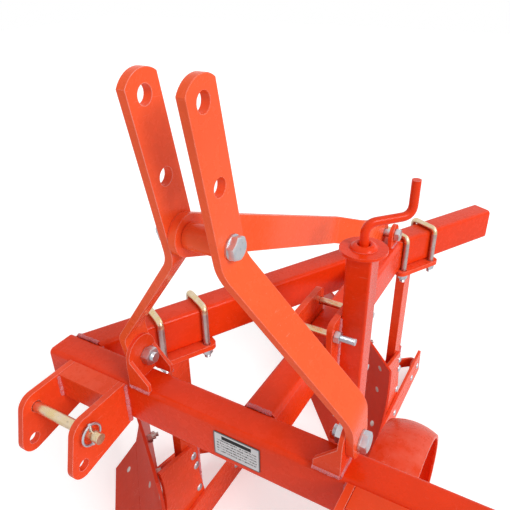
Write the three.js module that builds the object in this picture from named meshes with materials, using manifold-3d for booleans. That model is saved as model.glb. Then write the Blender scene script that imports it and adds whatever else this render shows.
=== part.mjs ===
// Two-furrow mounted moldboard plough for a small tractor, with a crank-adjusted depth wheel.
// Millimetres. +X points forward (towards the tractor), +Y to the driver's left, +Z up.
// The plough stands on its landsides and its wheel, and the ground is z = 0.
import * as THREE from "three";
import { mergeVertices } from "three/addons/utils/BufferGeometryUtils.js";
import Module from "manifold-3d";

const wasm = await Module();
wasm.setup();

// ---------------------------------------------------------------- sizes

const SEAT_GAP = 0.3; // between two pieces that touch
const BOLT_CLEARANCE = 0.75; // round a bolt in its hole
const SLIDE_CLEARANCE = 0.5; // round the wheel leg in its sleeve
const AXLE_CLEARANCE = 0.5; // round the axle in the hub

// Rectangular frame tube
const TUBE_WIDTH = 50;
const TUBE_HEIGHT = 70;
const TUBE_WALL = 5;
const TUBE_CORNER = 8;
const UNDERBEAM_CLEARANCE = 480;

// Frame
const CROSSBEAM_LENGTH = 662;
const MAIN_BEAM_LENGTH = 949;
const MAIN_BEAM_ANGLE = THREE.MathUtils.degToRad(28.87);
const MAIN_BEAM_JOINT_Y = -296.7; // where its centreline leaves the crossbeam's rear face
const PLATE = 10; // hitch plates, mast bars, clamp plates and brace

// Lower hitch
const HITCH_CENTRE = 228;
const HITCH_GAP = 90;
const HITCH_PIN = 16;
const HITCH_PIN_TAIL = 26;
const HITCH_EYE = { x: 81, z: 11, radius: 24 };
const HITCH_LOWER_EYE = { x: 97, z: -38, radius: 21 };
const HITCH_HEEL_Z = -42;
const HITCH_SPACER_LENGTH = 34;
const HITCH_SPACER_HEIGHT = 41;
const LINCH_PIN = 4.5;
const LINCH_RING = 16;

// Mast, in its own leaning frame whose origin is the foot bolt
const MAST_LEAN = THREE.MathUtils.degToRad(12);
const MAST_BAR_WIDTH = 45;
const MAST_GAP = 53;
const MAST_FOOT_FACE = 163; // outer face of the foot bracket's web
const MAST_FOOT_X = -10;
const MAST_FOOT_ABOVE_BEAM = 35;
const MAST_UPPER_BEND = 234;
const MAST_BOLT_AT = 258.5;
const MAST_LOWER_HOLE_AT = 329;
const MAST_TOP_HOLE_AT = 413;
const MAST_TOP_AT = 436.5;
const MAST_TOP_RADIUS = 30; // of the arc across its top
const TOP_LINK_HOLE = 19.5;
const MAST_BEND_REACH = 14;
const FRAME_BOLT = 16;

// Foot brackets on the crossbeam
const BRACKET_WALL = 6;
const BRACKET_CENTRE_X = -3;
const BRACKET_NUT_ROOM = 1.14; // between the foot bolt's nut and a flange
const BRACKET_TOP = 71; // above the crossbeam
const BRACKET_DEPTH = 35.5;
const BRACKET_TOE = 12;

// Brace from the mast to the main beam
const BRACE_WIDTH = 48;
const BRACE_FRONT_Y = -21.2;
const BRACE_REAR_Y = 10;
const BRACE_REAR_X = -572;
const BRACE_REAR_ABOVE_BEAM = 25;
const BRACE_JOG_START = 467;
const BRACE_JOG_END = 510;
const MAST_SPACER_RADIUS = 15;
const EAR_SPACING = 48;
const EAR_PLATE = 8;
const EAR_RADIUS = 22;

// Clamps that hold the plough bodies
const CLAMP_POSITIONS = { front: 154.3, rear: 717 }; // back along the main beam
const CLAMP_LENGTH = 116;
const CLAMP_WIDTH = 84;
const CLAMP_CORNER = 12;
const U_BOLT = 12;
const U_BOLT_SPACING = 82;
const U_BOLT_ROOM = 1; // between the side beam and the rear clamp's front U-bolt
const U_BOLT_BEND = 11;
const U_BOLT_TAIL = 9;
const NUT_HEIGHT = 0.8; // of the bolt's diameter
const HEX_SIZE = 1.5; // across flats, of the bolt's diameter

// Plough body, whose origin is on the ground under the middle of its clamp
const LEG_LENGTH = 50;
const LEG_X = 13; // ahead of the clamp's middle
const LEG_THICKNESS = 20;
const LEG_FOOT = 62;
const BODY_PLATE = 8;
const FURROW_WIDTH = 270;
const SHARE_REACH = 171; // from the shin's rearmost point to the share's point
const SHIN_X = 129;
const SHIN_Z = 185; // height of the shin's rearmost point
const SHIN_POWER = 2.3;
const SHIN_LEAN = 0.0011; // forward curve above that point
const SHARE_ANGLE = THREE.MathUtils.degToRad(42);
const TAIL_TWIST = THREE.MathUtils.degToRad(10); // added at the moldboard's top
const SHARE_HEIGHT = 58;
const SHARE_PLATE = 8;
const MOLDBOARD_PLATE = 6;
const MOLDBOARD_SHIN_TOP = 262;
const MOLDBOARD_CROWN = 62; // rise of its top edge above the shin's top
const MOLDBOARD_TAIL = 545; // length along its top
const MOLDBOARD_FOOT = 350; // length along the share
const LANDSIDE_HEIGHT = 78;
const LANDSIDE_REAR = -220;
const FROG_TOP = 232;
const FROG_RISE = 24; // of its top edge, from the rear to the moldboard
const FROG_REAR = 17;
const STAY_HEIGHT = 30;
const STAY_PLATE = 6;

// Depth wheel
const SLEEVE_X = -240.7;
const SLEEVE_SIZE = 40;
const SLEEVE_WALL = 4;
const SLEEVE_TOP = 193; // above the beam's middle
const SLEEVE_BOTTOM = -120;
const SLEEVE_FLANGE_RADIUS = 36.5;
const SLEEVE_FLANGE = 5;
const SLEEVE_PLATE_LENGTH = 105;
const SLEEVE_PLATE_HALF_HEIGHT = 80;
const SLEEVE_BOLT = 12;
const SLEEVE_BOLT_X = 40.5;
const SLEEVE_BOLT_Z = 55;
const SLEEVE_BOLT_TAIL = 24;
const LEG_TUBE_TOP = -16;
const CRANK_ROD = 14;
const CRANK_COLLAR = 21;
const CRANK_COLLAR_TOP = 14;
const CRANK_COLLAR_HEIGHT = 7;
const CRANK_RISE = 32;
const CRANK_THROW = 76.5;
const CRANK_TURN = THREE.MathUtils.degToRad(139); // of its handle, from straight ahead
const CRANK_HANDLE = 56;
const WHEEL_RADIUS = 168;
const WHEEL_WIDTH = 88;
const WHEEL_CROWN = 9;
const WHEEL_RIM_WALL = 4;
const WHEEL_TRAIL = 14; // axle behind the sleeve
const WHEEL_OUTER_Y = 218;
const HUB_RADIUS = 22;
const AXLE = 20;
const ARM_PLATE = 12;
const ARM_RADIUS = 25;
const AXLE_HEAD_ROOM = 2; // between the axle's head and the leg's foot
const ARM_RISE = 40; // from the axle to the arm's upper end

// Data plate
const DATA_PLATE = { y: 18, z: 0, width: 72, height: 42, thickness: 1 };

// Smoothness of round stretches
const ARC_STEPS = 6;
const ROUND_STEPS = 24;
const BEND_STEPS = 5;
const WHEEL_STEPS = 56;

// Worked out from the sizes above
const BEAM_MIDDLE = UNDERBEAM_CLEARANCE + TUBE_HEIGHT / 2;
const HALF_WIDTH = TUBE_WIDTH / 2;
const HALF_HEIGHT = TUBE_HEIGHT / 2;
const U_BOLT_HALF = HALF_WIDTH + SEAT_GAP + U_BOLT / 2;
const REAR_U_BOLT_Y = MAIN_BEAM_JOINT_Y + U_BOLT_HALF * Math.cos(MAIN_BEAM_ANGLE)
  + (CLAMP_POSITIONS.rear - U_BOLT_SPACING / 2) * Math.sin(MAIN_BEAM_ANGLE);
const SIDE_BEAM_Y = REAR_U_BOLT_Y - U_BOLT / 2 - U_BOLT_ROOM - HALF_WIDTH;
const MAST_FOOT_Z = HALF_HEIGHT + MAST_FOOT_ABOVE_BEAM;
const BRACKET_HALF = Math.abs(MAST_FOOT_X - BRACKET_CENTRE_X) + FRAME_BOLT * HEX_SIZE / Math.sqrt(3)
  + BRACKET_NUT_ROOM + BRACKET_WALL;
const MAST_LOWER_BEND = BRACKET_TOP - MAST_FOOT_ABOVE_BEAM + MAST_BEND_REACH; // clears the bracket
const LANDSIDE_FACE = LEG_THICKNESS / 2 + 2 * (SEAT_GAP + BODY_PLATE);
const FROG_FACE = LEG_THICKNESS / 2 + SEAT_GAP + BODY_PLATE;
const CLAMP_BOTTOM = -HALF_HEIGHT - SEAT_GAP - PLATE;
const SLEEVE_Y = SIDE_BEAM_Y + HALF_WIDTH + PLATE + 2 * SEAT_GAP + SLEEVE_SIZE / 2;
const WHEEL_Y = WHEEL_OUTER_Y - WHEEL_WIDTH / 2;
const AXLE_Z = WHEEL_RADIUS - BEAM_MIDDLE;

// ---------------------------------------------------------------- materials

const finish = (color, roughness, metalness) => new THREE.MeshStandardMaterial({ color, roughness, metalness });
const redPaint = () => finish("#d8452a", 0.35, 0);
const yellowZinc = () => finish("#c9a86a", 0.35, 0.9);
const whiteZinc = () => finish("#c3c6cc", 0.35, 0.9);
const blankPlate = () => finish("#b9bcc0", 0.45, 0.7);

// ---------------------------------------------------------------- solids

function toManifold(geometry) {
  const bare = geometry.clone();
  bare.deleteAttribute("normal");
  bare.deleteAttribute("uv");
  const welded = mergeVertices(bare, 1e-4);
  const vertProperties = new Float32Array(welded.attributes.position.array);
  const triVerts = new Uint32Array(welded.index.array);
  return new wasm.Manifold(new wasm.Mesh({ numProp: 3, vertProperties, triVerts }));
}

function toGeometry(manifold) {
  const mesh = manifold.getMesh();
  const geometry = new THREE.BufferGeometry();
  geometry.setAttribute("position", new THREE.BufferAttribute(mesh.vertProperties, 3));
  geometry.setIndex(new THREE.BufferAttribute(mesh.triVerts, 1));
  geometry.computeVertexNormals();
  return geometry;
}

const combine = (body, others, operation) =>
  toGeometry(others.reduce((solid, other) => solid[operation](toManifold(other)), toManifold(body)));
const cut = (body, ...tools) => combine(body, tools, "subtract");
const join = (body, ...others) => combine(body, others, "add");
const keepInside = (body, ...limits) => combine(body, limits, "intersect");

// The axes that a flat outline's X, Y and thickness take in each plane
const axes = (x, y, z) => new THREE.Matrix4().makeBasis(...[x, y, z].map((v) => new THREE.Vector3(...v)));
const PLANES = {
  XY: axes([1, 0, 0], [0, 1, 0], [0, 0, 1]),
  XZ: axes([1, 0, 0], [0, 0, 1], [0, -1, 0]),
  YZ: axes([0, 1, 0], [0, 0, 1], [1, 0, 0]),
};

// A plate of even thickness about its middle plane
function plate(outline, thickness, plane) {
  const settings = { depth: thickness, bevelEnabled: false, curveSegments: ARC_STEPS };
  const geometry = new THREE.ExtrudeGeometry(outline, settings);
  geometry.translate(0, 0, -thickness / 2);
  return geometry.applyMatrix4(PLANES[plane]);
}

// Outline that wraps tightly round circles [x, y, radius], listed counter-clockwise
function belt(circles) {
  const leaving = circles.map(([x, y, radius], i) => {
    const [nextX, nextY, nextRadius] = circles[(i + 1) % circles.length];
    const run = Math.hypot(nextX - x, nextY - y);
    return Math.atan2(nextY - y, nextX - x) - Math.acos((radius - nextRadius) / run);
  });
  const outline = new THREE.Shape();
  circles.forEach(([x, y, radius], i) => outline.absarc(x, y, radius, leaving.at(i - 1), leaving[i], false));
  return outline;
}

function roundedRectangle(width, height, corner) {
  const x = width / 2 - corner;
  const y = height / 2 - corner;
  return belt([[-x, -y, corner], [x, -y, corner], [x, y, corner], [-x, y, corner]]);
}

// Points and directions along a polyline whose inner corners are bent
function bentLine(corners, reach) {
  const points = corners.map((corner) => new THREE.Vector3(...corner));
  const direction = (from, to) => to.clone().sub(from).normalize();
  const last = points.length - 1;
  const stations = [{ point: points[0], tangent: direction(points[0], points[1]) }];
  points.slice(1, last).forEach((corner, i) => {
    const start = corner.clone().addScaledVector(direction(corner, points[i]), reach);
    const end = corner.clone().addScaledVector(direction(corner, points[i + 2]), reach);
    const bend = new THREE.QuadraticBezierCurve3(start, corner, end);
    for (let step = 0; step <= BEND_STEPS; step += 1) {
      stations.push({ point: bend.getPoint(step / BEND_STEPS), tangent: bend.getTangent(step / BEND_STEPS) });
    }
  });
  stations.push({ point: points[last], tangent: direction(points[last - 1], points[last]) });
  return stations;
}

// Outline of a flat strip of even thickness that follows a bent line
function strip(corners, thickness, reach) {
  const stations = bentLine(corners.map(([x, y]) => [x, y, 0]), reach);
  const edge = (side) => stations.map(({ point, tangent }) =>
    new THREE.Vector2(point.x - side * tangent.y * thickness / 2, point.y + side * tangent.x * thickness / 2));
  return new THREE.Shape([...edge(1), ...edge(-1).reverse()]);
}

// A path that is sampled exactly at its stations
class BentPath extends THREE.Curve {
  constructor(stations) {
    super();
    this.stations = stations;
  }

  stationAt(u) {
    return this.stations[Math.round(u * (this.stations.length - 1))];
  }

  getPointAt(u) {
    return this.stationAt(u).point.clone();
  }

  getTangentAt(u) {
    return this.stationAt(u).tangent.clone();
  }
}

function bentRod(corners, radius, reach) {
  const stations = bentLine(corners, reach);
  const circle = new THREE.Shape().absarc(0, 0, radius, 0, 2 * Math.PI);
  const settings = { steps: stations.length - 1, extrudePath: new BentPath(stations), curveSegments: ARC_STEPS };
  return new THREE.ExtrudeGeometry(circle, settings);
}

// A round or six-sided bar along one axis, about its middle
const TURNS = { X: [0, 0, -Math.PI / 2], Y: [0, 0, 0], Z: [Math.PI / 2, 0, 0] };

function bar(radius, length, axis, sides = ROUND_STEPS) {
  const geometry = new THREE.CylinderGeometry(radius, radius, length, sides);
  const turn = new THREE.Matrix4().makeRotationFromEuler(new THREE.Euler(...TURNS[axis]));
  return geometry.applyMatrix4(turn);
}

const hexagon = (diameter, height, axis) => bar(diameter * HEX_SIZE / Math.sqrt(3), height, axis, 6);
const box = (x, y, z) => new THREE.BoxGeometry(x, y, z);
const at = (geometry, x, y, z) => geometry.translate(x, y, z);
const hole = (diameter, length, axis, x, y, z) => at(bar(diameter / 2, length, axis), x, y, z);

// A bolt along Y: its head sits on y = 0 from the +Y side and its nut on y = -grip
function bolt(diameter, grip, tail) {
  const headHeight = diameter * 0.65;
  const nutHeight = diameter * NUT_HEIGHT;
  const shankLength = headHeight + SEAT_GAP + grip + SEAT_GAP + nutHeight + tail;
  const shank = at(bar(diameter / 2, shankLength, "Y"), 0, SEAT_GAP + headHeight - shankLength / 2, 0);
  const head = at(hexagon(diameter, headHeight, "Y"), 0, SEAT_GAP + headHeight / 2, 0);
  const nut = at(hexagon(diameter, nutHeight, "Y"), 0, -grip - SEAT_GAP - nutHeight / 2, 0);
  return join(shank, head, nut);
}

function piece(name, geometry, material, x = 0, y = 0, z = 0) {
  const mesh = new THREE.Mesh(geometry, material);
  mesh.name = name;
  mesh.position.set(x, y, z);
  return mesh;
}

// ---------------------------------------------------------------- frame

// A length of frame tube along X, from x = front back to x = front - length
function frameTube(length, front) {
  const outer = plate(roundedRectangle(TUBE_WIDTH, TUBE_HEIGHT, TUBE_CORNER), length, "YZ");
  const inside = [TUBE_WIDTH - 2 * TUBE_WALL, TUBE_HEIGHT - 2 * TUBE_WALL, TUBE_CORNER - TUBE_WALL];
  const bore = plate(roundedRectangle(...inside), length + 2 * TUBE_WALL, "YZ");
  return at(cut(outer, bore), front - length / 2, 0, 0);
}

function crossbeam() {
  const geometry = frameTube(CROSSBEAM_LENGTH, CROSSBEAM_LENGTH / 2).rotateZ(Math.PI / 2);
  return piece("crossbeam", geometry, redPaint());
}

const FAR = 4 * TUBE_HEIGHT; // half-space cutters reach past any tube end

function mainBeam() {
  const overrun = 2 * TUBE_WIDTH;
  const tube = frameTube(MAIN_BEAM_LENGTH + overrun, overrun);
  const aheadOfJoint = at(box(FAR, FAR, FAR), FAR / 2 - SEAT_GAP, 0, 0).rotateZ(MAIN_BEAM_ANGLE);
  return piece("main_beam", cut(tube, aheadOfJoint), redPaint());
}

function sideBeam() {
  const reach = (SIDE_BEAM_Y - MAIN_BEAM_JOINT_Y) / Math.tan(MAIN_BEAM_ANGLE);
  const tube = frameTube(reach, -SEAT_GAP);
  const size = 3 * reach;
  const behindMainBeam = at(box(size, size, FAR), 0, HALF_WIDTH + SEAT_GAP - size / 2, 0);
  behindMainBeam.rotateZ(-MAIN_BEAM_ANGLE).translate(0, MAIN_BEAM_JOINT_Y - SIDE_BEAM_Y, 0);
  return piece("side_beam", cut(tube, behindMainBeam), redPaint(), -HALF_WIDTH, SIDE_BEAM_Y, 0);
}

function dataPlate() {
  const { y, z, width, height, thickness } = DATA_PLATE;
  const x = HALF_WIDTH + SEAT_GAP + thickness / 2;
  return piece("data_plate", plate(roundedRectangle(width, height, 2), thickness, "YZ"), blankPlate(), x, y, z);
}

// ---------------------------------------------------------------- lower hitch

function hitchPlate() {
  const corner = 2;
  const outline = belt([
    [SEAT_GAP + corner, HITCH_HEEL_Z + corner, corner],
    [HITCH_LOWER_EYE.x, HITCH_LOWER_EYE.z, HITCH_LOWER_EYE.radius],
    [HITCH_EYE.x, HITCH_EYE.z, HITCH_EYE.radius],
    [SEAT_GAP + corner, HALF_HEIGHT - corner, corner],
  ]);
  const holeSize = HITCH_PIN + 2 * BOLT_CLEARANCE;
  const holes = [HITCH_EYE, HITCH_LOWER_EYE].map(({ x, z }) => hole(holeSize, 2 * PLATE, "Y", x, 0, z));
  return cut(plate(outline, PLATE, "XZ"), ...holes);
}

// The pin's cross hole holds the linch pin just inside the tail's end
const HITCH_INNER_END = -HITCH_GAP / 2 - PLATE - HITCH_PIN_TAIL;
const LINCH_Y = HITCH_INNER_END + 0.65 * HITCH_PIN_TAIL;

function hitchPin() {
  const headThickness = 6;
  const outerFace = HITCH_GAP / 2 + PLATE + SEAT_GAP;
  const length = outerFace + headThickness - HITCH_INNER_END;
  const shank = at(bar(HITCH_PIN / 2, length, "Y"), 0, HITCH_INNER_END + length / 2, 0);
  const head = at(bar(0.9 * HITCH_PIN, headThickness, "Y"), 0, outerFace + headThickness / 2, 0);
  return cut(join(shank, head), hole(LINCH_PIN + 2 * SEAT_GAP, 2 * HITCH_PIN, "Z", 0, LINCH_Y, 0));
}

// The linch pin's ring is snapped over both ends of its shank, round the hitch pin
function linchPin() {
  const shank = bar(LINCH_PIN / 2, 2 * LINCH_RING + LINCH_PIN, "Z");
  const ring = new THREE.TorusGeometry(LINCH_RING, 0.4 * LINCH_PIN, 8, ROUND_STEPS).rotateX(Math.PI / 2);
  return join(shank, ring);
}

// One lower hitch point. side is 1 on the left and -1 on the right, and the pin's tail points inwards.
function hitchPoint(name, side) {
  const point = new THREE.Group();
  point.position.set(HALF_WIDTH, side * HITCH_CENTRE, 0);
  const plateY = (HITCH_GAP + PLATE) / 2;
  point.add(piece(`hitch_plate_${name}_outer`, hitchPlate(), redPaint(), 0, side * plateY, 0));
  point.add(piece(`hitch_plate_${name}_inner`, hitchPlate(), redPaint(), 0, -side * plateY, 0));
  const spacer = box(HITCH_SPACER_LENGTH, HITCH_GAP - 2 * SEAT_GAP, HITCH_SPACER_HEIGHT);
  const spacerX = SEAT_GAP + HITCH_SPACER_LENGTH / 2;
  const spacerZ = HALF_HEIGHT - HITCH_SPACER_HEIGHT / 2;
  point.add(piece(`hitch_spacer_${name}`, spacer, redPaint(), spacerX, 0, spacerZ));
  const pinTurn = side > 0 ? 0 : Math.PI;
  const pin = piece(`hitch_pin_${name}`, hitchPin(), yellowZinc(), HITCH_EYE.x, 0, HITCH_EYE.z);
  pin.rotation.z = pinTurn;
  const linch = piece(`linch_pin_${name}`, linchPin(), whiteZinc(), HITCH_EYE.x, side * LINCH_Y, HITCH_EYE.z);
  point.add(pin, linch);
  return point;
}

// ---------------------------------------------------------------- mast

const FRAME_BOLT_HOLE = FRAME_BOLT + 2 * BOLT_CLEARANCE;

// A folded bracket whose web stands outwards. It is turned half round on the right-hand side.
function footBracket(name, side) {
  const foot = SEAT_GAP;
  const web = plate(belt([
    [1 - BRACKET_HALF, foot + 1, 1],
    [BRACKET_HALF - 1, foot + 1, 1],
    [0, BRACKET_TOP - BRACKET_HALF, BRACKET_HALF],
  ]), BRACKET_WALL, "XZ");
  const flangeOutline = new THREE.Shape([
    new THREE.Vector2(-BRACKET_WALL / 2, foot),
    new THREE.Vector2(-BRACKET_WALL / 2, BRACKET_TOP - BRACKET_HALF),
    new THREE.Vector2(-BRACKET_WALL, BRACKET_TOP - BRACKET_HALF),
    new THREE.Vector2(-BRACKET_DEPTH, foot + BRACKET_TOE),
    new THREE.Vector2(-BRACKET_DEPTH, foot),
  ]);
  const flangeX = BRACKET_HALF - BRACKET_WALL / 2;
  const flanges = [flangeX, -flangeX].map((x) => at(plate(flangeOutline, BRACKET_WALL, "YZ"), x, 0, 0));
  const boltX = side * (MAST_FOOT_X - BRACKET_CENTRE_X);
  const boltHole = hole(FRAME_BOLT_HOLE, 4 * BRACKET_WALL, "Y", boltX, 0, MAST_FOOT_ABOVE_BEAM);
  const solid = cut(join(at(web, 0, -BRACKET_WALL / 2, 0), ...flanges), boltHole);
  const mesh = piece(`foot_bracket_${name}`, solid, redPaint(), BRACKET_CENTRE_X, side * MAST_FOOT_FACE, HALF_HEIGHT);
  mesh.rotation.z = side > 0 ? 0 : Math.PI;
  return mesh;
}

function mastBar(name, side) {
  const footY = MAST_FOOT_FACE + SEAT_GAP + PLATE / 2;
  const topY = (MAST_GAP + PLATE) / 2;
  const end = MAST_BAR_WIDTH;
  const corners = [[footY, -end], [footY, MAST_LOWER_BEND], [topY, MAST_UPPER_BEND], [topY, MAST_TOP_HOLE_AT + end]];
  const bent = plate(strip(corners.map(([y, z]) => [side * y, z]), PLATE, MAST_BEND_REACH), MAST_BAR_WIDTH, "YZ");
  const radius = MAST_BAR_WIDTH / 2;
  const topCorner = Math.acos(radius / MAST_TOP_RADIUS);
  const outline = new THREE.Shape();
  outline.absarc(0, 0, radius, Math.PI, 2 * Math.PI, false);
  outline.absarc(0, MAST_TOP_AT - MAST_TOP_RADIUS, MAST_TOP_RADIUS, topCorner, Math.PI - topCorner, false);
  const silhouette = plate(outline, 4 * MAST_FOOT_FACE, "XZ");
  const holes = [
    [FRAME_BOLT_HOLE, 0],
    [FRAME_BOLT_HOLE, MAST_BOLT_AT],
    [TOP_LINK_HOLE, MAST_LOWER_HOLE_AT],
    [TOP_LINK_HOLE, MAST_TOP_HOLE_AT],
  ].map(([diameter, z]) => hole(diameter, 4 * MAST_FOOT_FACE, "Y", 0, 0, z));
  return piece(`mast_bar_${name}`, cut(keepInside(bent, silhouette), ...holes), redPaint());
}

function footBolt(name, side) {
  const headFace = MAST_FOOT_FACE + SEAT_GAP + PLATE;
  const mesh = piece(`foot_bolt_${name}`, bolt(FRAME_BOLT, headFace - MAST_FOOT_FACE + BRACKET_WALL, 5), whiteZinc());
  mesh.position.y = side * headFace;
  mesh.rotation.z = side > 0 ? 0 : Math.PI;
  return mesh;
}

function mastSpacer() {
  const from = BRACE_FRONT_Y + PLATE / 2 + SEAT_GAP;
  const to = MAST_GAP / 2 - SEAT_GAP;
  const length = to - from;
  const geometry = cut(bar(MAST_SPACER_RADIUS, length, "Y"), bar(FRAME_BOLT_HOLE / 2, 2 * length, "Y"));
  return piece("mast_spacer", geometry, redPaint(), 0, (from + to) / 2, MAST_BOLT_AT);
}

function mast() {
  const group = new THREE.Group();
  group.position.set(MAST_FOOT_X, 0, MAST_FOOT_Z);
  group.rotation.y = MAST_LEAN;
  group.add(mastBar("left", 1), mastBar("right", -1), footBolt("left", 1), footBolt("right", -1), mastSpacer());
  const grip = MAST_GAP + 2 * PLATE;
  group.add(piece("mast_bolt", bolt(FRAME_BOLT, grip, 6), whiteZinc(), 0, grip / 2, MAST_BOLT_AT));
  return group;
}

// ---------------------------------------------------------------- brace

const MAST_BOLT_X = MAST_FOOT_X + MAST_BOLT_AT * Math.sin(MAST_LEAN);
const MAST_BOLT_Z = MAST_FOOT_Z + MAST_BOLT_AT * Math.cos(MAST_LEAN);
const BRACE_REAR_Z = HALF_HEIGHT + BRACE_REAR_ABOVE_BEAM;

// The brace lies along its own X axis, with its origin at the mast bolt
function brace() {
  const fall = MAST_BOLT_Z - BRACE_REAR_Z;
  const run = MAST_BOLT_X - BRACE_REAR_X;
  const length = Math.hypot(run, fall);
  const end = BRACE_WIDTH;
  const corners = [
    [end, BRACE_FRONT_Y], [-BRACE_JOG_START, BRACE_FRONT_Y], [-BRACE_JOG_END, BRACE_REAR_Y], [-length - end, BRACE_REAR_Y],
  ];
  const radius = BRACE_WIDTH / 2;
  const silhouette = plate(belt([[-length, 0, radius], [0, 0, radius]]), length, "XZ");
  const holes = [0, -length].map((x) => hole(FRAME_BOLT_HOLE, length, "Y", x, 0, 0));
  const bent = plate(strip(corners, PLATE, 8), BRACE_WIDTH, "XY");
  const solid = cut(keepInside(bent, silhouette), ...holes);
  const mesh = piece("mast_brace", solid, redPaint(), MAST_BOLT_X, 0, MAST_BOLT_Z);
  mesh.rotation.y = -Math.atan2(fall, run);
  return mesh;
}

function braceEar(name, side) {
  const foot = SEAT_GAP + 1;
  const outline = belt([
    [1 - EAR_RADIUS, foot, 1], [EAR_RADIUS - 1, foot, 1], [0, BRACE_REAR_ABOVE_BEAM, EAR_RADIUS],
  ]);
  const boltHole = hole(FRAME_BOLT_HOLE, 4 * EAR_PLATE, "Y", 0, 0, BRACE_REAR_ABOVE_BEAM);
  const y = BRACE_REAR_Y + side * EAR_SPACING / 2;
  return piece(`brace_ear_${name}`, cut(plate(outline, EAR_PLATE, "XZ"), boltHole), redPaint(), BRACE_REAR_X, y, HALF_HEIGHT);
}

function braceBolt() {
  const grip = EAR_SPACING + EAR_PLATE;
  const geometry = bolt(FRAME_BOLT, grip, 6);
  return piece("brace_bolt", geometry, whiteZinc(), BRACE_REAR_X, BRACE_REAR_Y + grip / 2, BRACE_REAR_Z);
}

// ---------------------------------------------------------------- clamps on the main beam

function uBolt() {
  const nutHeight = U_BOLT * NUT_HEIGHT;
  const top = HALF_HEIGHT + SEAT_GAP + U_BOLT / 2;
  const nutTop = CLAMP_BOTTOM - SEAT_GAP;
  const end = nutTop - nutHeight - U_BOLT_TAIL;
  const corners = [[0, -U_BOLT_HALF, end], [0, -U_BOLT_HALF, top], [0, U_BOLT_HALF, top], [0, U_BOLT_HALF, end]];
  const nuts = [-1, 1].map((side) => at(hexagon(U_BOLT, nutHeight, "Z"), 0, side * U_BOLT_HALF, nutTop - nutHeight / 2));
  return join(bentRod(corners, U_BOLT / 2, U_BOLT_BEND), ...nuts);
}

function clampPlate() {
  const outline = roundedRectangle(CLAMP_LENGTH, CLAMP_WIDTH, CLAMP_CORNER);
  const holes = [-1, 1].flatMap((x) => [-1, 1].map((y) =>
    hole(U_BOLT + 2 * BOLT_CLEARANCE, 2 * PLATE, "Z", x * U_BOLT_SPACING / 2, y * U_BOLT_HALF, 0)));
  return cut(plate(outline, PLATE, "XY"), ...holes);
}

// Everything on one clamp, in the main beam's own frame
function clamp(name) {
  const group = new THREE.Group();
  group.position.x = -CLAMP_POSITIONS[name];
  group.add(piece(`${name}_clamp_plate`, clampPlate(), redPaint(), 0, 0, CLAMP_BOTTOM + PLATE / 2));
  group.add(piece(`${name}_u_bolt_fore`, uBolt(), yellowZinc(), U_BOLT_SPACING / 2, 0, 0));
  group.add(piece(`${name}_u_bolt_aft`, uBolt(), yellowZinc(), -U_BOLT_SPACING / 2, 0, 0));
  return group;
}

// ---------------------------------------------------------------- plough body

// The working surface is swept by level straight lines that start on the shin, in the landside's
// plane, and run back to the right. shinX is the shin's curve and lineAngle turns the lines.
function shinX(z) {
  if (z > SHIN_Z) return SHIN_X + SHIN_LEAN * (z - SHIN_Z) ** 2;
  return SHIN_X + SHARE_REACH * ((SHIN_Z - z) / SHIN_Z) ** SHIN_POWER;
}

const lineAngle = (z) => SHARE_ANGLE + TAIL_TWIST * z / (MOLDBOARD_SHIN_TOP + MOLDBOARD_CROWN);

function workingSurface(along, z) {
  const angle = lineAngle(z);
  return new THREE.Vector3(shinX(z) - along * Math.cos(angle), LANDSIDE_FACE - along * Math.sin(angle), z);
}

// The plate's back lies level behind its front, so edges cut along the ground stay level
function backOfPlate(along, z, thickness) {
  const step = 1;
  const point = workingSurface(along, z);
  const level = workingSurface(along + step, z).sub(point);
  const rise = workingSurface(along, z + step).sub(point);
  const normal = level.cross(rise).normalize();
  const flat = new THREE.Vector3(normal.x, normal.y, 0);
  const towardsBack = normal.x > 0 ? -1 : 1;
  return point.addScaledVector(flat, towardsBack * thickness / flat.lengthSq());
}

// A closed shell between the front and the back of a rectangular patch of the working surface.
// lineAt(u, v) gives the length along the line and the height for u and v from 0 to 1.
function bladeShell(lineAt, thickness, columns, rows) {
  const positions = [];
  [(along, z) => workingSurface(along, z), (along, z) => backOfPlate(along, z, thickness)].forEach((face) => {
    for (let row = 0; row <= rows; row += 1) {
      for (let column = 0; column <= columns; column += 1) {
        const [along, z] = lineAt(column / columns, row / rows);
        positions.push(...face(along, z).toArray());
      }
    }
  });
  const layer = (columns + 1) * (rows + 1);
  const index = [];
  const quad = (a, b, c, d) => index.push(a, b, c, a, c, d);
  const node = (column, row, side) => side * layer + row * (columns + 1) + column;
  for (let row = 0; row < rows; row += 1) {
    for (let column = 0; column < columns; column += 1) {
      quad(node(column, row, 0), node(column, row + 1, 0), node(column + 1, row + 1, 0), node(column + 1, row, 0));
      quad(node(column, row, 1), node(column + 1, row, 1), node(column + 1, row + 1, 1), node(column, row + 1, 1));
    }
  }
  for (let row = 0; row < rows; row += 1) {
    quad(node(0, row, 0), node(0, row, 1), node(0, row + 1, 1), node(0, row + 1, 0));
    quad(node(columns, row, 0), node(columns, row + 1, 0), node(columns, row + 1, 1), node(columns, row, 1));
  }
  for (let column = 0; column < columns; column += 1) {
    quad(node(column, 0, 0), node(column + 1, 0, 0), node(column + 1, 0, 1), node(column, 0, 1));
    quad(node(column, rows, 0), node(column, rows, 1), node(column + 1, rows, 1), node(column + 1, rows, 0));
  }
  const geometry = new THREE.BufferGeometry();
  geometry.setAttribute("position", new THREE.Float32BufferAttribute(positions, 3));
  geometry.setIndex(index);
  geometry.computeVertexNormals();
  return geometry;
}

function share() {
  const length = FURROW_WIDTH / Math.sin(SHARE_ANGLE);
  const wingCut = length - MOLDBOARD_FOOT;
  const lineAt = (u, v) => [u * (length - wingCut * v), v * SHARE_HEIGHT];
  return bladeShell(lineAt, SHARE_PLATE, 12, 6);
}

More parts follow.
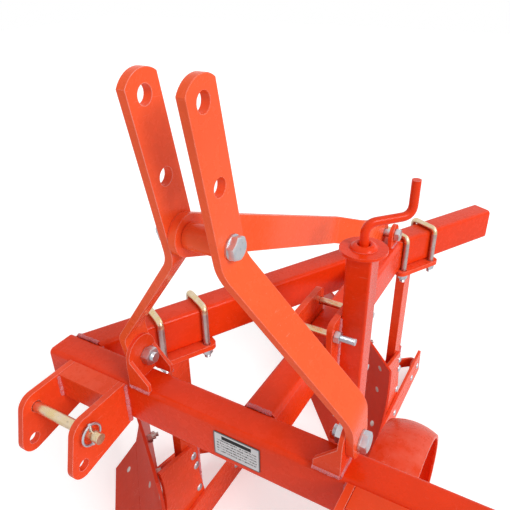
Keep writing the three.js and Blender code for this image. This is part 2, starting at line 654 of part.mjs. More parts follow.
function moldboard() {
  const foot = SHARE_HEIGHT + 2 * SEAT_GAP;
  const lineAt = (u, v) => {
    const tail = MOLDBOARD_FOOT + (MOLDBOARD_TAIL - MOLDBOARD_FOOT) * Math.sin(v * Math.PI / 2);
    const top = MOLDBOARD_SHIN_TOP + MOLDBOARD_CROWN * Math.sin(u * 0.72 * Math.PI);
    const roundOff = (u * v) ** 4; // rounds the wing's upper corner
    return [u * tail - 68 * roundOff, foot + v * (top - foot) - 20 * roundOff];
  };
  return bladeShell(lineAt, MOLDBOARD_PLATE, 16, 12);
}

// Where the back of a blade stands at a given distance from the leg and height
function backX(y, z, thickness) {
  const onShin = backOfPlate(0, z, thickness);
  const along = (onShin.y - y) / Math.sin(lineAngle(z));
  return backOfPlate(along, z, thickness).x;
}

function frog() {
  const steps = 24;
  const bottom = 6;
  const front = [];
  for (let i = 0; i <= steps; i += 1) {
    const z = bottom + (FROG_TOP + FROG_RISE - bottom) * i / steps;
    const thickness = z < SHARE_HEIGHT + 8 ? SHARE_PLATE : MOLDBOARD_PLATE;
    front.push(new THREE.Vector2(backX(FROG_FACE - BODY_PLATE, z, thickness) - 2 * SEAT_GAP, z));
  }
  const rearFoot = new THREE.Vector2(LEG_X - LEG_LENGTH / 2, bottom);
  const heel = new THREE.Vector2(LEG_X - LEG_LENGTH / 2, LANDSIDE_HEIGHT);
  const shoulder = new THREE.Vector2(FROG_REAR, FROG_TOP);
  const outline = new THREE.Shape([rearFoot, ...front, shoulder, heel]);
  return at(plate(outline, BODY_PLATE, "XZ"), 0, FROG_FACE - BODY_PLATE / 2, 0);
}

function landside() {
  const outline = new THREE.Shape([
    new THREE.Vector2(LANDSIDE_REAR, 0),
    new THREE.Vector2(SHIN_X + 0.55 * SHARE_REACH, 0),
    new THREE.Vector2(SHIN_X + 0.12 * SHARE_REACH, LANDSIDE_HEIGHT),
    new THREE.Vector2(LANDSIDE_REAR + 12, LANDSIDE_HEIGHT),
  ]);
  return at(plate(outline, BODY_PLATE, "XZ"), 0, LANDSIDE_FACE - BODY_PLATE / 2, 0);
}

// A bowed strap behind the leg, from the landside to the back of the moldboard
function stay() {
  const z = SHARE_HEIGHT + STAY_HEIGHT;
  const touch = backOfPlate(0.62 * MOLDBOARD_FOOT, z, MOLDBOARD_PLATE);
  const corners = [
    [LANDSIDE_REAR + 70, LANDSIDE_FACE - BODY_PLATE - SEAT_GAP - STAY_PLATE / 2],
    [LANDSIDE_REAR + 30, LANDSIDE_FACE - BODY_PLATE - SEAT_GAP - STAY_PLATE / 2],
    [touch.x - 100, touch.y + 20],
    [touch.x - 1, touch.y + 2],
  ];
  return at(plate(strip(corners, STAY_PLATE, 18), STAY_HEIGHT, "XY"), 0, 0, LANDSIDE_HEIGHT - STAY_HEIGHT);
}

function leg() {
  const top = BEAM_MIDDLE + CLAMP_BOTTOM - SEAT_GAP;
  const height = top - LEG_FOOT;
  return at(box(LEG_LENGTH, LEG_THICKNESS, height), LEG_X, 0, LEG_FOOT + height / 2);
}

// One plough body, placed under its clamp but pointing straight ahead
function ploughBody(name) {
  const group = new THREE.Group();
  const back = CLAMP_POSITIONS[name];
  group.position.set(
    -HALF_WIDTH - back * Math.cos(MAIN_BEAM_ANGLE),
    MAIN_BEAM_JOINT_Y + back * Math.sin(MAIN_BEAM_ANGLE),
    -BEAM_MIDDLE,
  );
  const parts = { leg, frog, landside, share, moldboard, stay };
  Object.entries(parts).forEach(([part, make]) => group.add(piece(`${name}_${part}`, make(), redPaint())));
  return group;
}

// ---------------------------------------------------------------- depth wheel

function wheelSleeve() {
  const height = SLEEVE_TOP - SLEEVE_BOTTOM;
  const bore = SLEEVE_SIZE - 2 * SLEEVE_WALL;
  const outer = plate(roundedRectangle(SLEEVE_SIZE, SLEEVE_SIZE, 4), height, "XY");
  const tube = cut(outer, box(bore, bore, 2 * height));
  const flange = at(bar(SLEEVE_FLANGE_RADIUS, SLEEVE_FLANGE, "Z"), 0, 0, (height + SLEEVE_FLANGE) / 2);
  return piece("wheel_sleeve", join(tube, flange), redPaint(), 0, 0, (SLEEVE_TOP + SLEEVE_BOTTOM) / 2);
}

function sleevePlate() {
  const outline = roundedRectangle(SLEEVE_PLATE_LENGTH, 2 * SLEEVE_PLATE_HALF_HEIGHT, 14);
  const holes = [-1, 1].flatMap((x) => [-1, 1].map((z) =>
    hole(SLEEVE_BOLT + 2 * BOLT_CLEARANCE, 2 * PLATE, "Y", x * SLEEVE_BOLT_X, 0, z * SLEEVE_BOLT_Z)));
  return cut(plate(outline, PLATE, "XZ"), ...holes);
}

function crank() {
  const rise = CRANK_COLLAR_HEIGHT + CRANK_RISE;
  const [throwX, throwY] = [CRANK_THROW * Math.cos(CRANK_TURN), CRANK_THROW * Math.sin(CRANK_TURN)];
  const corners = [[0, 0, 0], [0, 0, rise], [throwX, throwY, rise], [throwX, throwY, rise + CRANK_HANDLE]];
  const rod = bentRod(corners, CRANK_ROD / 2, 18);
  const cone = new THREE.CylinderGeometry(CRANK_COLLAR_TOP, CRANK_COLLAR, CRANK_COLLAR_HEIGHT, ROUND_STEPS);
  const collar = at(cone.rotateX(Math.PI / 2), 0, 0, CRANK_COLLAR_HEIGHT / 2);
  return piece("crank", join(rod, collar), redPaint(), 0, 0, SLEEVE_TOP + SLEEVE_FLANGE + SEAT_GAP);
}

// The sleeve and its clamp on the side beam, with the origin on the sleeve's axis
function sleeveAssembly() {
  const group = new THREE.Group();
  group.position.set(SLEEVE_X, SLEEVE_Y, 0);
  const frontY = -SLEEVE_SIZE / 2 - SEAT_GAP - PLATE / 2;
  const backY = frontY - PLATE - TUBE_WIDTH - 2 * SEAT_GAP;
  group.add(wheelSleeve(), crank());
  group.add(piece("sleeve_plate", sleevePlate(), redPaint(), 0, frontY, 0));
  group.add(piece("sleeve_back_plate", sleevePlate(), redPaint(), 0, backY, 0));
  const grip = frontY - backY + PLATE;
  [["fore", 1], ["aft", -1]].forEach(([end, x]) => [["upper", 1], ["lower", -1]].forEach(([level, z]) => {
    const geometry = bolt(SLEEVE_BOLT, grip, SLEEVE_BOLT_TAIL).rotateZ(Math.PI);
    const y = backY - PLATE / 2;
    group.add(piece(`sleeve_bolt_${end}_${level}`, geometry, whiteZinc(), x * SLEEVE_BOLT_X, y, z * SLEEVE_BOLT_Z));
  }));
  return group;
}

// The leg slides in the sleeve, and its arm carries the axle behind and below it
function wheelLeg() {
  const size = SLEEVE_SIZE - 2 * SLEEVE_WALL - 2 * SLIDE_CLEARANCE;
  const bottom = AXLE_Z + AXLE * HEX_SIZE / Math.sqrt(3) + AXLE_HEAD_ROOM;
  const height = LEG_TUBE_TOP - bottom;
  const outer = at(box(size, size, height), 0, 0, bottom + height / 2);
  const armY = size / 2 + ARM_PLATE / 2 - 1;
  const arm = plate(belt([[-WHEEL_TRAIL, AXLE_Z, ARM_RADIUS], [0, AXLE_Z + ARM_RISE, ARM_RADIUS]]), ARM_PLATE, "XZ");
  const axleHole = hole(AXLE + 2 * AXLE_CLEARANCE, 4 * ARM_PLATE, "Y", -WHEEL_TRAIL, armY, AXLE_Z);
  const solid = cut(join(outer, at(arm, 0, armY, 0)), axleHole);
  return piece("wheel_leg", solid, redPaint(), SLEEVE_X, SLEEVE_Y, 0);
}

const ARM_INNER_Y = SLEEVE_Y + SLEEVE_SIZE / 2 - SLEEVE_WALL - SLIDE_CLEARANCE - 1;
const HUB_HALF = WHEEL_WIDTH / 2 - 4;

function wheelAxle() {
  const washer = 3;
  const grip = WHEEL_Y + HUB_HALF + washer - ARM_INNER_Y;
  const geometry = bolt(AXLE, grip, 5).rotateZ(Math.PI);
  return piece("wheel_axle", geometry, whiteZinc(), SLEEVE_X - WHEEL_TRAIL, ARM_INNER_Y, AXLE_Z);
}

// A crowned band with turned-in lips on a flat disc, turned about Y
function wheelRim() {
  const half = WHEEL_WIDTH / 2;
  const disc = 4;
  const lip = 7;
  const crowned = (offset) => {
    const points = [];
    for (let i = 0; i <= 8; i += 1) {
      const across = -half + i * half / 4;
      points.push(new THREE.Vector2(WHEEL_RADIUS - offset - WHEEL_CROWN * (across / half) ** 2, across));
    }
    return points;
  };
  const lipRadius = WHEEL_RADIUS - WHEEL_CROWN - lip;
  const inner = crowned(WHEEL_RIM_WALL).slice(1, -1).reverse();
  const aboveDisc = inner.filter(({ y }) => y > disc);
  const belowDisc = inner.filter(({ y }) => y < -disc);
  const discEdge = WHEEL_RADIUS - WHEEL_RIM_WALL;
  const bore = HUB_RADIUS + SEAT_GAP;
  const profile = [
    ...crowned(0),
    new THREE.Vector2(lipRadius, half), new THREE.Vector2(lipRadius, half - WHEEL_RIM_WALL),
    ...aboveDisc,
    new THREE.Vector2(discEdge, disc / 2), new THREE.Vector2(bore, disc / 2),
    new THREE.Vector2(bore, -disc / 2), new THREE.Vector2(discEdge, -disc / 2),
    ...belowDisc,
    new THREE.Vector2(lipRadius, WHEEL_RIM_WALL - half), new THREE.Vector2(lipRadius, -half),
  ];
  const geometry = new THREE.LatheGeometry([...profile, profile[0]], WHEEL_STEPS);
  return piece("wheel_rim", geometry, redPaint());
}

function wheelHub() {
  const length = 2 * HUB_HALF;
  const geometry = cut(bar(HUB_RADIUS, length, "Y"), bar(AXLE / 2 + AXLE_CLEARANCE, 2 * length, "Y"));
  return piece("wheel_hub", geometry, redPaint());
}

function wheel() {
  const group = new THREE.Group();
  group.position.set(SLEEVE_X - WHEEL_TRAIL, WHEEL_Y, AXLE_Z);
  group.add(wheelRim(), wheelHub());
  return group;
}

// ---------------------------------------------------------------- assembly

function mainBeamGroup() {
  const group = new THREE.Group();
  group.position.set(-HALF_WIDTH, MAIN_BEAM_JOINT_Y, 0);
  group.rotation.z = -MAIN_BEAM_ANGLE;
  group.add(mainBeam(), clamp("front"), clamp("rear"));
  return group;
}

function plough() {
  const frame = new THREE.Group();
  frame.add(crossbeam(), sideBeam(), mainBeamGroup(), dataPlate());
  frame.add(hitchPoint("left", 1), hitchPoint("right", -1));
  frame.add(footBracket("left", 1), footBracket("right", -1), mast());
  frame.add(brace(), braceEar("left", 1), braceEar("right", -1), braceBolt());
  frame.add(ploughBody("front"), ploughBody("rear"));
  frame.add(sleeveAssembly(), wheelLeg(), wheelAxle(), wheel());
  return frame;
}

// The origin is on the ground, under the middle of the whole plough
const model = new THREE.Group();
const frame = plough();
model.add(frame);
const bounds = new THREE.Box3().setFromObject(model, true);
const centre = bounds.getCenter(new THREE.Vector3());
frame.position.set(-centre.x, -centre.y, -bounds.min.z);

export default model;
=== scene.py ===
"""Looks of a mounted moldboard plough: enamelled steel, zinc-plated fasteners, welds and ploughshares."""
from math import cos, pi, radians, sin

import bmesh
import bpy
from mathutils import Matrix, Vector


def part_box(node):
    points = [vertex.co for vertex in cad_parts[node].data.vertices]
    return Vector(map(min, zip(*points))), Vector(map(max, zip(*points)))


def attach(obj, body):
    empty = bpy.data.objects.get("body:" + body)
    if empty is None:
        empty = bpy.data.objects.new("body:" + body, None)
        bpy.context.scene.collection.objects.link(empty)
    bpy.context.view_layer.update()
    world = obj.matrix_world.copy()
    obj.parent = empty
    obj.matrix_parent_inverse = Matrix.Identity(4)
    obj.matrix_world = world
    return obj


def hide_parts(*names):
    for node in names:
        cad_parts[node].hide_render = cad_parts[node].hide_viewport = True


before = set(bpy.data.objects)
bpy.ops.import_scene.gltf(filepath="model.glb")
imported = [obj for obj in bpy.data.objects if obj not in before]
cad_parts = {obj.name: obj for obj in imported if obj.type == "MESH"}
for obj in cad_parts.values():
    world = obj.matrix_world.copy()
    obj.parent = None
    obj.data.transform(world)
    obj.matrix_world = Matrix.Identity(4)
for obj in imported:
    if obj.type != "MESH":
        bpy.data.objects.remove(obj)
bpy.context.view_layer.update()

MM = 0.001
beam_middle = sum(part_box("crossbeam"), Vector()) / 2


def from_beam(x, y, z):
    """A point given in millimetres from the middle of the crossbeam, in the model's metres."""
    return beam_middle + Vector((x, y, z)) * MM


# ------------------------------------------------------------------ camera

CAMERA_PLACE = (449.3, 305.3, 583.6)  # millimetres from the middle of the crossbeam
CAMERA_HEADING = radians(-149.22)
CAMERA_PITCH = radians(-29.13)
CAMERA_ROLL = radians(-1.19)

camera = bpy.data.objects.new("camera", bpy.data.cameras.new("camera"))
bpy.context.scene.collection.objects.link(camera)
bpy.context.scene.camera = camera
camera.data.lens = 38.68
camera.data.sensor_width = 36
camera.data.clip_start = 0.01
level = cos(CAMERA_PITCH)
gaze = Vector((cos(CAMERA_HEADING) * level, sin(CAMERA_HEADING) * level, sin(CAMERA_PITCH)))
aim = gaze.to_track_quat("-Z", "Y").to_matrix().to_4x4()
roll = Matrix.Rotation(CAMERA_ROLL, 4, "Z")
camera.matrix_world = Matrix.Translation(from_beam(*CAMERA_PLACE)) @ aim @ roll

# ------------------------------------------------------------------ node wiring

class Wire:
    """A node's output socket that formulas can be written with: each operation adds a Math node."""

    def __init__(self, tree, socket):
        self.tree = tree
        self.socket = socket

    def __getitem__(self, name):
        return Wire(self.tree, self.socket.node.outputs[name])

    def math(self, operation, *others, clamp=False):
        node = self.tree.nodes.new("ShaderNodeMath")
        node.operation = operation
        node.use_clamp = clamp
        for slot, value in zip(node.inputs, (self, *others)):
            plug(self.tree, value, slot)
        return Wire(self.tree, node.outputs[0])

    def __add__(self, other):
        return self.math("ADD", other)

    def __sub__(self, other):
        return self.math("SUBTRACT", other)

    def __mul__(self, other):
        return self.math("MULTIPLY", other)

    def __truediv__(self, other):
        return self.math("DIVIDE", other)

    def __rsub__(self, other):
        return self.math("MULTIPLY", -1) + other

    __radd__ = __add__
    __rmul__ = __mul__


def plug(tree, value, slot):
    if isinstance(value, Wire):
        tree.links.new(value.socket, slot)
    else:
        slot.default_value = value


def add(tree, kind, inputs=None, **settings):
    """Adds a node, sets its properties and inputs, and returns its first output."""
    node = tree.nodes.new(kind)
    for name, value in settings.items():
        setattr(node, name, value)
    for key, value in (inputs or {}).items():
        plug(tree, value, node.inputs[key])
    return Wire(tree, node.outputs[0]) if node.outputs else node


def node_group(name, kind, inputs, outputs):
    """An empty node group with named sockets, its input wires by name, and its output node."""
    tree = bpy.data.node_groups.new(name, kind)
    for label, (socket_type, value) in inputs.items():
        socket = tree.interface.new_socket(label, in_out="INPUT", socket_type=socket_type)
        if value is not None:
            socket.default_value = value
    for label, socket_type in outputs.items():
        tree.interface.new_socket(label, in_out="OUTPUT", socket_type=socket_type)
    entry = tree.nodes.new("NodeGroupInput")
    wires = {label: Wire(tree, entry.outputs[label]) for label in inputs}
    return tree, wires, tree.nodes.new("NodeGroupOutput")


# ------------------------------------------------------------------ shader groups

FLOAT, COLOUR = "NodeSocketFloat", "NodeSocketColor"


def noise(tree, scale, detail=2.0, roughness=0.5, stretch=None):
    """Noise on the object's own coordinates, in features per metre."""
    place = add(tree, "ShaderNodeTexCoord")["Object"]
    if stretch:
        place = add(tree, "ShaderNodeMapping", {"Vector": place, "Scale": stretch})
    return add(tree, "ShaderNodeTexNoise", {
        "Vector": place, "Scale": scale, "Detail": detail, "Roughness": roughness,
    })


def window(wire, low, high):
    """0 below low, 1 above high, and a smooth step between them."""
    return add(wire.tree, "ShaderNodeMapRange", {"Value": wire, "From Min": low, "From Max": high},
               interpolation_type="SMOOTHSTEP")


def blend_colour(tree, factor, a, b, mode="MIX"):
    node = tree.nodes.new("ShaderNodeMix")
    node.data_type = "RGBA"
    node.blend_type = mode
    for slot, value in zip((node.inputs[0], node.inputs[6], node.inputs[7]), (factor, a, b)):
        plug(tree, value, slot)
    return Wire(tree, node.outputs[2])


def make_paint_film():
    """Sprayed enamel: cloudy colour, orange peel, fine scratches and dust on what faces up."""
    tree, given, out = node_group("paint_film", "ShaderNodeTree", {
        "Colour": (COLOUR, (0.7, 0.06, 0.02, 1)), "Dust": (FLOAT, 0.1),
        "Scratches": (FLOAT, 0.3), "Peel": (FLOAT, 1.0),
    }, {"Colour": COLOUR, "Roughness": FLOAT, "Height": FLOAT})
    cloud = noise(tree, 9, 3)
    mottle = noise(tree, 70, 4, 0.6)
    shade = cloud * 0.30 + mottle * 0.16 + 0.77
    grey = add(tree, "ShaderNodeCombineColor", {0: shade, 1: shade, 2: shade})
    body = blend_colour(tree, 1.0, given["Colour"], grey, "MULTIPLY")
    along = window(noise(tree, 1, 2, 0.7, (25, 420, 420)), 0.685, 0.72)
    across = window(noise(tree, 1, 2, 0.7, (380, 30, 300)), 0.69, 0.72)
    scratch = along.math("MAXIMUM", across) * window(noise(tree, 5, 2), 0.47, 0.66) * given["Scratches"]
    scuffed = blend_colour(tree, scratch, body, (0.86, 0.32, 0.22, 1))
    normal = add(tree, "ShaderNodeNewGeometry")["Normal"]
    upward = window(add(tree, "ShaderNodeSeparateXYZ", {0: normal})["Z"], 0.3, 0.9)
    powder = window(noise(tree, 35, 6, 0.7), 0.35, 0.75) * window(noise(tree, 4, 2), 0.3, 0.6)
    dusty = blend_colour(tree, upward * powder * given["Dust"], scuffed, (0.72, 0.52, 0.44, 1))
    plug(tree, dusty, out.inputs["Colour"])
    rough = mottle * 0.10 + scratch * 0.25 + upward * powder * given["Dust"] * 0.5
    plug(tree, rough, out.inputs["Roughness"])
    peel = noise(tree, 420, 2) * given["Peel"] + mottle * 0.6 - scratch * 0.4
    plug(tree, peel, out.inputs["Height"])
    return tree


def make_edge_wear_and_highlight():
    """1 on sharp outer edges, broken up by noise, and 0 on flat faces: the mask of pale edges that stand for
    worn paint and for a painted highlight.
    """
    tree, given, out = node_group("edge_wear", "ShaderNodeTree", {
        "Radius": (FLOAT, 0.0015), "Amount": (FLOAT, 0.5),
    }, {"Mask": FLOAT})
    rounded = add(tree, "ShaderNodeBevel", {"Radius": given["Radius"]}, samples=6)
    flat = add(tree, "ShaderNodeNewGeometry")["Normal"]
    facing = add(tree, "ShaderNodeVectorMath", {0: rounded, 1: flat}, operation="DOT_PRODUCT")["Value"]
    edge = window(1 - facing, 0.02, 0.22)
    patches = window(noise(tree, 60, 5, 0.65), 0.30, 0.62)
    plug(tree, edge * (patches * 0.6 + 0.4) * given["Amount"], out.inputs["Mask"])
    return tree


def make_zinc_film():
    """Plated steel: cloudy tint, drawn lines and stains that change its colour and gloss."""
    tree, given, out = node_group("zinc_film", "ShaderNodeTree", {
        "Colour": (COLOUR, (0.7, 0.7, 0.7, 1)), "Tint": (COLOUR, (0.7, 0.6, 0.4, 1)), "Stains": (FLOAT, 0.4),
    }, {"Colour": COLOUR, "Roughness": FLOAT, "Height": FLOAT})
    cloud = window(noise(tree, 85, 4, 0.6), 0.35, 0.68)
    plating = blend_colour(tree, cloud, given["Colour"], given["Tint"])
    stain = window(noise(tree, 160, 5, 0.7), 0.55, 0.72) * given["Stains"]
    plug(tree, blend_colour(tree, stain, plating, (0.16, 0.13, 0.11, 1)), out.inputs["Colour"])
    plug(tree, cloud * 0.08 + stain * 0.35 + noise(tree, 700, 2) * 0.08, out.inputs["Roughness"])
    plug(tree, noise(tree, 900, 3) + cloud * 0.5, out.inputs["Height"])
    return tree


PAINT_FILM = make_paint_film()
EDGE_WEAR_AND_HIGHLIGHT = make_edge_wear_and_highlight()
ZINC_FILM = make_zinc_film()

# ------------------------------------------------------------------ materials


def grouped(tree, group, inputs):
    node = tree.nodes.new("ShaderNodeGroup")
    node.node_tree = group
    for key, value in inputs.items():
        plug(tree, value, node.inputs[key])
    return Wire(tree, node.outputs[0])


def new_material(name):
    material = bpy.data.materials.new(name)
    material.use_nodes = True
    tree = material.node_tree
    return material, tree, tree.nodes["Principled BSDF"]


def bump(tree, height, distance, strength):
    return add(tree, "ShaderNodeBump", {"Height": height, "Distance": distance, "Strength": strength})


def enamel(name, colour, roughness=0.22, dust=0.12, scratches=0.25, wear=1.0, peel=1.0,
           edge=(0.92, 0.40, 0.34, 1)):
    """Glossy spray paint on steel, pale along its edges: partly worn paint and partly a painted highlight."""
    material, tree, shader = new_material(name)
    film = grouped(tree, PAINT_FILM, {"Colour": colour, "Dust": dust, "Scratches": scratches, "Peel": peel})
    pale_edges = grouped(tree, EDGE_WEAR_AND_HIGHLIGHT, {"Radius": 0.0016, "Amount": wear})
    # edge is the pale pink edge colour: partly worn paint, partly a painted highlight along the edges
    plug(tree, blend_colour(tree, pale_edges, film["Colour"], edge), shader.inputs["Base Color"])
    plug(tree, film["Roughness"] + pale_edges * 0.1 + roughness, shader.inputs["Roughness"])
    plug(tree, bump(tree, film["Height"], 0.0002, 0.2), shader.inputs["Normal"])
    shader.inputs["Specular IOR Level"].default_value = 0.15
    shader.inputs["Coat Weight"].default_value = 0.05
    shader.inputs["Coat Roughness"].default_value = 0.1
    return material


def plating(name, colour, tint, roughness, stains=0.4):
    """Zinc-plated steel."""
    material, tree, shader = new_material(name)
    film = grouped(tree, ZINC_FILM, {"Colour": colour, "Tint": tint, "Stains": stains})
    pale_edges = grouped(tree, EDGE_WEAR_AND_HIGHLIGHT, {"Radius": 0.0008, "Amount": 0.5})
    plug(tree, blend_colour(tree, pale_edges, film["Colour"], (0.86, 0.86, 0.86, 1)), shader.inputs["Base Color"])
    plug(tree, film["Roughness"] + roughness, shader.inputs["Roughness"])
    plug(tree, bump(tree, film["Height"], 0.0001, 0.25), shader.inputs["Normal"])
    shader.inputs["Metallic"].default_value = 1
    return material


# The pale edge colours of these paints are partly worn paint and partly painted highlights.
red_tube = enamel("red_tube_enamel", (0.80, 0.042, 0.004, 1), dust=0.03)
red_plate = enamel("red_plate_enamel", (0.82, 0.064, 0.013, 1), dust=0.08, wear=1.5, scratches=0.45)
# A lighter, more orange copy of the plate paint for the mast: painted light for the stronger light the mast
# catches.
mast_enamel = enamel("mast_enamel", (0.92, 0.105, 0.026, 1), dust=0.06, wear=1.5, scratches=0.5)
red_blade = enamel("red_blade_enamel", (0.70, 0.036, 0.007, 1), dust=0.04, roughness=0.34, scratches=0.7,
                   wear=0.7)
red_wheel = enamel("red_wheel_enamel", (0.78, 0.056, 0.011, 1), scratches=0.55)
weld_enamel = enamel("red_weld_enamel", (0.62, 0.10, 0.09, 1), roughness=0.3, dust=0.7, scratches=0,
                     wear=0.9, peel=3, edge=(0.72, 0.42, 0.50, 1))
yellow_zinc = plating("yellow_zinc", (0.74, 0.56, 0.30, 1), (0.76, 0.62, 0.46, 1), 0.22)
bright_zinc = plating("bright_zinc", (0.54, 0.60, 0.66, 1), (0.66, 0.66, 0.68, 1), 0.3, 0.3)
silver_pink = plating("thread_zinc", (0.52, 0.40, 0.38, 1), (0.62, 0.52, 0.50, 1), 0.3, 0.5)
worn_bolt = plating("rubbed_bolt", (0.56, 0.44, 0.40, 1), (0.62, 0.56, 0.54, 1), 0.3, 0.6)


def make_plate_blank():
    """A brushed satin plate with a border, a dark header bar and rows of marks that spell nothing."""
    material, tree, shader = new_material("satin_plate")
    grain = noise(tree, 1, 3, 0.6, (200, 30, 1600))
    tone = grain * 0.16 + 0.58
    metal = add(tree, "ShaderNodeCombineColor", {0: tone, 1: tone, 2: tone * 1.02})
    middle = sum(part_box("data_plate"), Vector()) / 2
    place = add(tree, "ShaderNodeSeparateXYZ", {0: add(tree, "ShaderNodeTexCoord")["Object"]})
    across = (place["Y"] - middle.y) * 1000
    up = (place["Z"] - middle.z) * 1000
    marks = window(noise(tree, 1, 1, 0.5, (1, 900, 500)), 0.46, 0.5)
    rows = (((up + 20) / 5).math("FRACT") - 0.5).math("ABSOLUTE").math("LESS_THAN", 0.2)
    inside = across.math("ABSOLUTE").math("LESS_THAN", 31) * (up + 3).math("ABSOLUTE").math("LESS_THAN", 12.5)
    bar_height = (up - 13.5).math("ABSOLUTE").math("LESS_THAN", 3.2)
    header = across.math("ABSOLUTE").math("LESS_THAN", 23) * bar_height
    side_edge = across.math("ABSOLUTE").math("GREATER_THAN", 34.3)
    edge = side_edge.math("MAXIMUM", up.math("ABSOLUTE").math("GREATER_THAN", 19.3))
    ink = (rows * inside * marks).math("MAXIMUM", header).math("MAXIMUM", edge * 0.8)
    plug(tree, blend_colour(tree, ink, metal, (0.012, 0.012, 0.014, 1)), shader.inputs["Base Color"])
    plug(tree, grain * 0.15 + 0.3, shader.inputs["Roughness"])
    plug(tree, bump(tree, grain, 0.0001, 0.3), shader.inputs["Normal"])
    shader.inputs["Metallic"].default_value = 0.7
    return material


satin_plate = make_plate_blank()

# ------------------------------------------------------------------ mesh tools


def new_piece(name, bm, material, smooth_angle=32):
    """A mesh object at the origin, smooth except where faces meet at more than smooth_angle degrees."""
    mesh = bpy.data.meshes.new(name)
    bm.to_mesh(mesh)
    bm.free()
    return link_piece(name, mesh, material, smooth_angle)


def link_piece(name, mesh, material, smooth_angle=32):
    mesh.name = name
    mesh.materials.clear()
    mesh.materials.append(material)
    mesh.shade_smooth()
    mesh.set_sharp_from_angle(angle=radians(smooth_angle))
    piece = bpy.data.objects.new(name, mesh)
    bpy.context.scene.collection.objects.link(piece)
    return piece


def soften(piece, width, segments=2, angle=35):
    """Rounds the piece's sharp edges, given in millimetres."""
    bevel = piece.modifiers.new("rounded_edges", "BEVEL")
    bevel.width = width * MM
    bevel.segments = segments
    bevel.limit_method = "ANGLE"
    bevel.angle_limit = radians(angle)
    bevel.harden_normals = True
    return piece


def finish(piece, body, slot, *nodes):
    """Hides the nodes the piece takes the place of and hangs the piece on its body's empty."""
    if nodes:
        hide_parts(*nodes)
    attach(piece, body)
    return piece


def merged_copy(node):
    """The node's solid as one connected mesh with whole flat faces."""
    bm = bmesh.new()
    bm.from_mesh(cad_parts[node].data)
    bmesh.ops.remove_doubles(bm, verts=bm.verts, dist=0.01 * MM)
    bmesh.ops.dissolve_limit(bm, angle_limit=radians(0.3), verts=bm.verts, edges=bm.edges)
    return bm


def dressed(node, material, edge=1.0, body="frame", slot="red_paint"):
    """The node's own shape with softly rounded edges."""
    piece = new_piece(node + "_skin", merged_copy(node), material)
    soften(piece, edge)
    return finish(piece, body, slot, node)


def swept(points, radius, sides=20):
    """A closed round rod along points, in metres, as a bmesh."""
    bm = bmesh.new()
    rings = []
    path = [Vector(point) for point in points]
    normal = (path[1] - path[0]).orthogonal().normalized()
    for i, point in enumerate(path):
        ahead = path[min(i + 1, len(path) - 1)] - point
        behind = point - path[max(i - 1, 0)]
        tangent = (ahead.normalized() + behind.normalized()).normalized()
        normal = (normal - tangent * normal.dot(tangent)).normalized()
        side = tangent.cross(normal)
        turns = [2 * pi * k / sides for k in range(sides)]
        rings.append([bm.verts.new(point + (normal * cos(turn) + side * sin(turn)) * radius) for turn in turns])
    for a, b in zip(rings, rings[1:]):
        for k in range(sides):
            bm.faces.new((a[k], a[(k + 1) % sides], b[(k + 1) % sides], b[k]))
    bm.faces.new(reversed(rings[0]))
    bm.faces.new(rings[-1])
    bmesh.ops.recalc_face_normals(bm, faces=bm.faces)
    return bm


def bent(corners, reach, steps=8):
    """Points along corners, in metres, with each inner corner rounded over reach."""
    corners = [Vector(corner) for corner in corners]
    points = [corners[0]]
    for before, corner, after in zip(corners, corners[1:], corners[2:]):
        start = corner + (before - corner).normalized() * reach
        end = corner + (after - corner).normalized() * reach
        for i in range(steps + 1):
            t = i / steps
            points.append(start * (1 - t) ** 2 + corner * 2 * t * (1 - t) + end * t * t)
    return points + [corners[-1]]


# ------------------------------------------------------------------ geometry node trees

GEOMETRY = "NodeSocketGeometry"


def geometry_tree(name, inputs):
    tree, given, out = node_group(name, "GeometryNodeTree", {
        "Geometry": (GEOMETRY, None), **inputs, "Material": ("NodeSocketMaterial", None),
    }, {"Geometry": GEOMETRY})
    return tree, given, out


def close_tree(tree, given, out, *parts):
    """Joins the parts, makes instances real and paints them."""
    join = tree.nodes.new("GeometryNodeJoinGeometry")
    for part in parts:
        tree.links.new(part.socket, join.inputs[0])
    real = add(tree, "GeometryNodeRealizeInstances", {0: Wire(tree, join.outputs[0])})
    painted = add(tree, "GeometryNodeSetMaterial", {"Geometry": real, "Material": given["Material"]})
    plug(tree, painted, out.inputs["Geometry"])
    return tree


def position(tree):
    """The parts of each vertex's place, as wires."""
    place = add(tree, "ShaderNodeSeparateXYZ", {0: add(tree, "GeometryNodeInputPosition")})
    return place["X"], place["Y"], place["Z"]


def combine(tree, x=0.0, y=0.0, z=0.0):
    return add(tree, "ShaderNodeCombineXYZ", {"X": x, "Y": y, "Z": z})


def cylinder(tree, radius, height, sides, rings=1):
    """A capped cylinder that stands on its origin."""
    shape = add(tree, "GeometryNodeMeshCylinder", {
        "Vertices": sides, "Side Segments": rings, "Radius": radius, "Depth": height,
    }, fill_type="NGON")
    return move(tree, shape, combine(tree, z=height * 0.5))


def move(tree, shape, offset):
    return add(tree, "GeometryNodeTransform", {"Geometry": shape, "Translation": offset})


def hexagon(tree, across_flats, height):
    """A hexagonal head or nut that stands on its origin, chamfered at both ends."""
    flat = across_flats * 0.5
    shape = cylinder(tree, flat, height, 48, 3)
    x, y, z = position(tree)
    turn = y.math("ARCTAN2", x)
    side = turn + pi / 6
    into_side = side - (side / (pi / 3)).math("FLOOR") * (pi / 3) - pi / 6
    hex_radius = flat / into_side.math("COSINE")
    level = (z / height * 3).math("ROUND")
    on_side = (1.5 - level).math("ABSOLUTE").math("LESS_THAN", 1.0)
    crown = flat * 0.97
    radius = on_side * hex_radius + (1 - on_side) * crown
    slope = (hex_radius - crown) * 0.5
    upper = level.math("GREATER_THAN", 1.5)
    inner_level = upper * (height - slope) + (1 - upper) * slope
    outer_level = upper * height
    new_z = on_side * inner_level + (1 - on_side) * outer_level
    placed = combine(tree, turn.math("COSINE") * radius, turn.math("SINE") * radius, new_z)
    return add(tree, "GeometryNodeSetPosition", {"Geometry": shape, "Position": placed})


